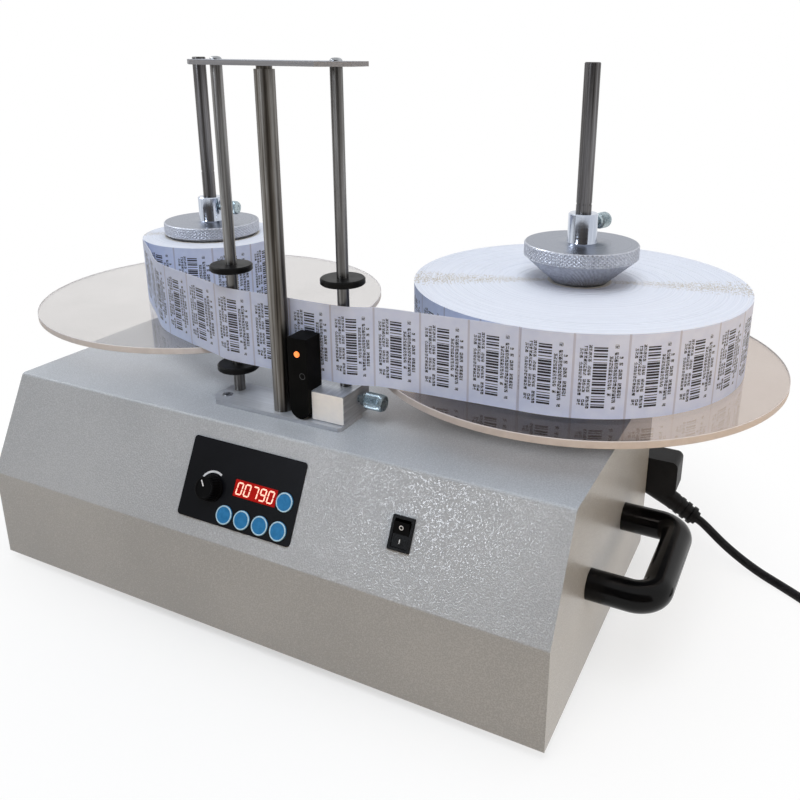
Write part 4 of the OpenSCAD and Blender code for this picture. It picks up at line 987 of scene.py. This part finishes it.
# The web: one thickness of liner with its labels, led from the supply roll past the guide to the front
# of the take-up roll. It is printed on the outside only.
web_rows = []
for i, spot in enumerate(web_path):
    along = web_path[min(i + 1, len(web_path) - 1)] - web_path[max(i - 1, 0)]
    half = np.array([along[1], -along[0], 0]) / np.hypot(along[0], along[1]) * web_t / 2
    foot = np.array([spot[0], spot[1], web_low + spot[2]])
    top = np.array([0, 0, web_h])
    web_rows.append([foot + half, foot - half, foot - half + top, foot + half + top])
web = skin("label_strip", web_rows, caps=True)
coat(liner, web)
web.data.materials.append(label_face)
web_print = {}
for i in range(len(web_path) - 1):
    u0, u1 = ((gone - web_length) / label_pitch for gone in web_gone[i:i + 2])
    web_print[4 * i + 3] = ((u0, 1), (u0, 0), (u1, 0), (u1, 1))
print_labels(web, web_print)
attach(web, "console")
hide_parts("label_web")


# The clamping cones: turned aluminium, with a diamond-knurled rim, slanting flutes on the cone that grips
# the core, a plain turned top and a polished collar drilled for the clamp screw.
cone_bore, cone_nose_r, cone_rim_r, cone_h, cone_rim_h, cone_collar_r = 5.55, 16.0, 41.0, 22.0, 9.5, 10.5
flutes, flute_slant, flute_deep = 72, 5.0, 1.1
diamonds, diamond_h, diamond_deep = 80, 2.5, 0.6
cone_steps = 480
knurled, turned_top, polished = range(3)
clamp_turns = {"takeup": math.radians(70), "supply": math.radians(5)}
clamp_up, clamp_hole_l, clamp_hole_r = 12.6, 14, 2.55
cone_knurl = make_finish(
    "cone_knurl", "#b9bdc8", 0.3, 0.85, tone=(500, "#a9adb8", "#cbcfd9"), wear=(900, 0.28, 0.42))
collar_bright = make_finish(
    "collar_bright", "#bcc3d2", 0.13, 1.0,
    tone=((300, (1, 1, 0.06)), "#aeb5c4", "#cdd4e0"), wear=((800, (0.06, 0.06, 1)), 0.09, 0.2))


def turned_face(name, about):
    """A lathe-turned finish: fine grooves in rings about the given axis (mm)."""
    mat = make_finish(name, "#888e9c", 0.3, 1.0)
    grooves = ring_noise(mat, about, 2600.0, 2.0)[0]
    vary_colour(mat, grooves, "#7c8290", "#979daa")
    vary_rough(mat, grooves, 0.24, 0.4)
    raise_grain(mat, grooves, 0.00006)
    return mat


def zigzag(value):
    return abs(2 * (value % 1.0) - 1)


def drill(piece, start, end, radius):
    """Cuts a round hole (mm) through a piece's mesh."""
    way = np.array(end, float) - start
    length = np.linalg.norm(way)
    tool = stood("drill", lathe([(radius, 0), (radius, length)], 32), start, way / length)
    cut = piece.modifiers.new("hole", "BOOLEAN")
    cut.operation = "DIFFERENCE"
    cut.solver = "EXACT"
    cut.object = tool
    made = bpy.data.meshes.new_from_object(piece.evaluated_get(bpy.context.evaluated_depsgraph_get()))
    piece.modifiers.remove(cut)
    piece.data = made
    bpy.data.objects.remove(tool)


def clamp_seat(side):
    """Where a clamp screw's line meets its spindle (mm), and the way that the screw points."""
    screw_z = box_mm(f"{side}_cone")[0][2] + cone_h + cone_rim_h + clamp_up
    return (*axes[side], screw_z), (math.cos(clamp_turns[side]), math.sin(clamp_turns[side]), 0)


for side, about in axes.items():
    node, name = f"{side}_cone", f"{side}_knurled_cone"
    nose_z, collar_z = (corner[2] for corner in box_mm(node))
    rim_z, head_z = nose_z + cone_h, nose_z + cone_h + cone_rim_h
    angles = np.arange(cone_steps) / cone_steps
    profile = [(cone_bore, nose_z, knurled), (cone_nose_r - 0.9, nose_z, knurled)]
    for share in np.linspace(0, 1, 31):
        flute = 0.5 + 0.5 * np.cos(2 * np.pi * (flutes * angles + flute_slant * share))
        depth = flute_deep * min(1, 5 * share + 0.2, 7 * (1 - share))
        r = cone_nose_r + (cone_rim_r - cone_nose_r) * share - depth * flute
        profile.append((r, nose_z + cone_h * share, knurled))
    for share in np.linspace(0.02, 0.91, 25):
        lift = share * cone_rim_h / diamond_h
        height = np.minimum(zigzag(diamonds * angles + lift), zigzag(diamonds * angles - lift))
        r = cone_rim_r - diamond_deep * (1 - np.minimum(1, 1.6 * height))
        profile.append((r, rim_z + share * cone_rim_h, knurled))
    profile += [
        (cone_rim_r - 0.5, head_z - 0.5, knurled), (cone_rim_r - 0.9, head_z, turned_top),
        (30.0, head_z, turned_top), (20.0, head_z, turned_top), (cone_collar_r + 0.7, head_z, turned_top),
        (cone_collar_r + 0.2, head_z + 0.2, polished), (cone_collar_r, head_z + 0.7, polished),
        (cone_collar_r, collar_z - 0.8, polished), (cone_collar_r - 0.8, collar_z, polished),
        (cone_bore + 0.6, collar_z, polished), (cone_bore, collar_z - 0.6, polished),
    ]
    cone = skin(name, lathe([row[:2] for row in profile], cone_steps, about), loop=True, sharp=40)
    coat(cone_knurl, cone)
    cone.data.materials.append(turned_face(f"{name}_top", about))
    cone.data.materials.append(collar_bright)
    for face in cone.data.polygons:
        face.material_index = profile[face.index // cone_steps][2]
    middle, way = (np.array(v) for v in clamp_seat(side))
    drill(cone, middle, middle + clamp_hole_l * way, clamp_hole_r)
    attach(cone, node)
    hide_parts(node)


# The clamp screws: zinc-plated steel with a knurled round head. One is screwed through each cone's collar
# and locks the cone on its spindle; the sensor's block has another, more worn.
plated_screw = make_finish(
    "plated_screw", "#a3b2ba", 0.3, 0.7, tone=(350, "#93a3ab", "#b9c7cd"), wear=(700, 0.22, 0.4))
worn_screw = make_finish(
    "worn_screw", "#8793a0", 0.3, 0.9, tone=(350, "#737f86", "#9aa5ab"), wear=(700, 0.22, 0.4))
shank_r, tooth_deep = 2.5, 0.55


def knurled_screw(name, node, finish, place, way, shank_from, head_r, head_from, head_to, teeth):
    """A thumb screw along a way from its place: a plain shank and a straight-knurled head."""
    steps = teeth * 6
    tooth = 0.5 + 0.5 * np.cos(np.arange(steps) * 2 * np.pi / steps * teeth)
    head_l = head_to - head_from
    profile = [
        (shank_r - 0.4, shank_from), (shank_r, shank_from + 0.5), (shank_r, head_from),
        (head_r * 0.72, head_from), (head_r * 0.78, head_from + 0.14 * head_l),
    ]
    for share in np.linspace(0.2, 0.88, 6):
        profile.append((head_r - tooth_deep * (1 - tooth), head_from + share * head_l))
    profile += [
        (head_r - 0.7, head_to - 0.25), (head_r - 1.1, head_to), (head_r * 0.45, head_to),
        (head_r * 0.4, head_to - 0.3),
    ]
    piece = stood(name, lathe(profile, steps), place, way)
    coat(finish, piece)
    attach(piece, node)
    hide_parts(node)


for side in axes:
    knurled_screw(
        f"{side}_clamp_thumb", f"{side}_clamp_screw", plated_screw, *clamp_seat(side),
        shank_from=5.8, head_r=5.75, head_from=16.5, head_to=28.5, teeth=36)


# The web guide: two rods and a post between a base plate and a tie plate of brushed aluminium, held by
# countersunk screws below and button-head screws above, all with a hexagon socket.
brushed_plate = make_finish("brushed_plate", "#a9adb4", 0.36, 0.45)
brush_lines = surface_noise(brushed_plate, 900, (0.03, 1, 1), 4.0)
brush_cloud = surface_noise(brushed_plate, 25, even, 5.0)
brush_tone = shared(brushed_plate, brush_lines, brush_cloud, 0.6)
vary_colour(brushed_plate, brush_tone, (0.35, "#a5a9b1"), (0.65, "#c2c6ce"))
vary_rough(brushed_plate, brush_lines, 0.28, 0.46)
raise_grain(brushed_plate, brush_lines, 0.00004)
coat(brushed_plate, "guide_base")
satin_lines = (700, (0.03, 1, 1), 4.0)
satin_plate = make_finish(
    "satin_plate", "#8d9098", 0.5, 0.15, mirror=0.1, tone=(satin_lines, "#858890", "#979aa2"),
    wear=(satin_lines, 0.42, 0.58), grain=(satin_lines, 0.00003))
coat(satin_plate, "guide_tie_plate")

socket_half, socket_steps = 1.25, 72
stem_r, button_r, button_h, button_l = 2.0, 4.0, 2.1, 12.0
sunk_r, sunk_l, sunk_y, sunk_out = 3.85, 7.0, -106.5, 1.6


def hexagon(height):
    """A ring with six flat sides, for a screw's socket."""
    angles = np.arange(socket_steps) * 2 * np.pi / socket_steps
    across_flats = np.cos((angles + math.pi / 6) % (math.pi / 3) - math.pi / 6)
    return ring(socket_half / across_flats, height, socket_steps)


button_profile = [(stem_r, -button_l), (stem_r, 0)]
for a in np.radians([0, 12, 26, 42, 58, 70]):
    button_profile.append((button_r * math.cos(a) ** 0.7, button_h * math.sin(a)))
button_rows = lathe(button_profile, socket_steps) + [hexagon(2.02), hexagon(0.6)]
sunk_profile = [(stem_r, -sunk_l), (stem_r, -2.0), (sunk_r, -0.12), (sunk_r - 0.05, 0)]
sunk_rows = lathe(sunk_profile, socket_steps) + [hexagon(0), hexagon(-1.6)]
guide_z, tie_top = (box_mm(node)[1][2] for node in ("guide_base", "guide_tie_plate"))
guide_set = [stood("button_screw", button_rows, (x, rod_y, tie_top)) for x in rod_xs]
for x in (rod_xs[0] - sunk_out, rod_xs[1] + sunk_out):
    guide_set.append(stood("sunk_screw", sunk_rows, (x, sunk_y, guide_z)))
guide_screws = merge("guide_screw_set", guide_set)
coat(screw_steel, guide_screws)
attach(guide_screws, "console")
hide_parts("guide_screws")


# The collars: turned washers of black plastic with a faint ring grain. They slide on the rods and keep the
# web at its height.
collar_rings = (1500, (0.05, 0.05, 1))
collar_black = make_finish(
    "collar_black", "#0d0d0e", 0.34, mirror=0.08, tone=(200, "#0a0a0b", "#131314"),
    wear=(collar_rings, 0.28, 0.42), grain=(collar_rings, 0.00004))
coat(collar_black, "collar_left_upper", "collar_left_lower", "collar_right_upper")


# The counting sensor: a black moulded light sensor beside an aluminium block that clamps on the right rod.
# Its lamp glows orange over a small dark lens, and the block's front carries a blank white sticker.
sensor_shell = make_finish(
    "sensor_shell", "#0b0b0b", 0.4, mirror=0.03,
    tone=(90, "#080808", "#0f0f0f"), wear=(1400, 0.32, 0.5), grain=(1400, 0.00006))
coat(sensor_shell, "photo_sensor")
mill_marks = (600, (1, 0.08, 1), 4.0)
block_metal = make_finish(
    "block_metal", "#a6aab3", 0.36, 0.5, tone=(mill_marks, "#8f939b", "#b2b6bd"),
    wear=(mill_marks, 0.28, 0.44), grain=(mill_marks, 0.00004))
coat(block_metal, "sensor_block")

shell_low, shell_high = box_mm("photo_sensor")
block_low, block_high = box_mm("sensor_block")
shell_foot, shell_h, shell_steps, forward = 7.5, 58, 32, (0, -1, 0)
lamp_r, lamp_dome, lamp_up = 2.0, 0.18, 0.68
eye_r, eye_aside, eye_sunk, eye_up = 2.3, 3.75, 0.18, 0.42
seat_deep, proud = 0.8, 0.02
lamp_x = (shell_low[0] + shell_high[0]) / 2
lamp_at = (lamp_x, shell_low[1] - proud, shell_low[2] + shell_foot + lamp_up * shell_h)
eye_at = (lamp_x + eye_aside, shell_low[1] + eye_sunk, shell_low[2] + shell_foot + eye_up * shell_h)
lamp_profile = [(lamp_r + 0.1, -seat_deep), (lamp_r + 0.1, proud)]
for r in (lamp_r, 1.8, 1.4, 0.9, 0.3):
    lamp_profile.append((0.9 * r, lamp_dome * math.sqrt(max(0, 1 - (r / lamp_r) ** 2))))
sensor_lamp = stood("sensor_lamp", lathe(lamp_profile, shell_steps), lamp_at, forward)
lamp_orange = make_finish("lamp_orange", "#ff7a32", 0.25, tone=(500, "#f2601c", "#ff9a5c"))
settle(shade_of(lamp_orange), {"Emission Color": (1.0, 0.25, 0.05, 1), "Emission Strength": 1.0})
coat(lamp_orange, sensor_lamp)
eye_profile = [(eye_r, -seat_deep), (eye_r, proud), (1.9, 0.06), (1.7, -0.25), (0.9, -0.12), (0.2, -0.08)]
sensor_eye = stood("sensor_eye", lathe(eye_profile, shell_steps), eye_at, forward)
eye_glass = make_finish(
    "eye_glass", "#17171b", 0.2, tone=(400, "#121215", "#1d1d22"), wear=(900, 0.08, 0.18))
coat(eye_glass, sensor_eye)

sticker_in, sticker_r, sticker_t = 0.8, 0.9, 0.15
sticker_w, sticker_h = block_high[0] - block_low[0] - sticker_in, block_high[2] - block_low[2] - sticker_in
sticker_x, sticker_z = (block_low[0] + block_high[0]) / 2, (block_low[2] + block_high[2]) / 2
sticker_y = block_low[1] - proud
sticker_edge = []
for start, sx, sz in ((0, 1, 1), (90, -1, 1), (180, -1, -1), (270, 1, -1)):
    for a in np.radians(np.arange(0, 91, 18)) + math.radians(start):
        x = sx * (sticker_w / 2 - sticker_r) + sticker_r * math.cos(a)
        z = sz * (sticker_h / 2 - sticker_r) + sticker_r * math.sin(a)
        sticker_edge.append((sticker_x + x, sticker_z + z))
sticker_rows = [[(x, sticker_y - depth, z) for x, z in sticker_edge] for depth in (0, sticker_t)]
sticker = skin("blank_sticker", sticker_rows, caps=True)
sticker_white = make_finish(
    "sticker_white", "#fbfcfd", 0.45, tone=(200, "#f7f8fa", "#ffffff"), grain=(900, 0.00003))
coat(sticker_white, sticker)
for piece, slot in ((sensor_lamp, "sensor_black"), (sensor_eye, "sensor_black"), (sticker, "block_aluminium")):
    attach(piece, "sensor_carriage")
thumb_up = 0.6
thumb_at = (rod_xs[1], rod_y, block_low[2] + thumb_up * (block_high[2] - block_low[2]))
knurled_screw(
    "sensor_clamp_thumb", "sensor_thumb_screw", worn_screw, thumb_at, (1, 0, 0),
    shank_from=4.3, head_r=6.0, head_from=13.5, head_to=30.5, teeth=38)
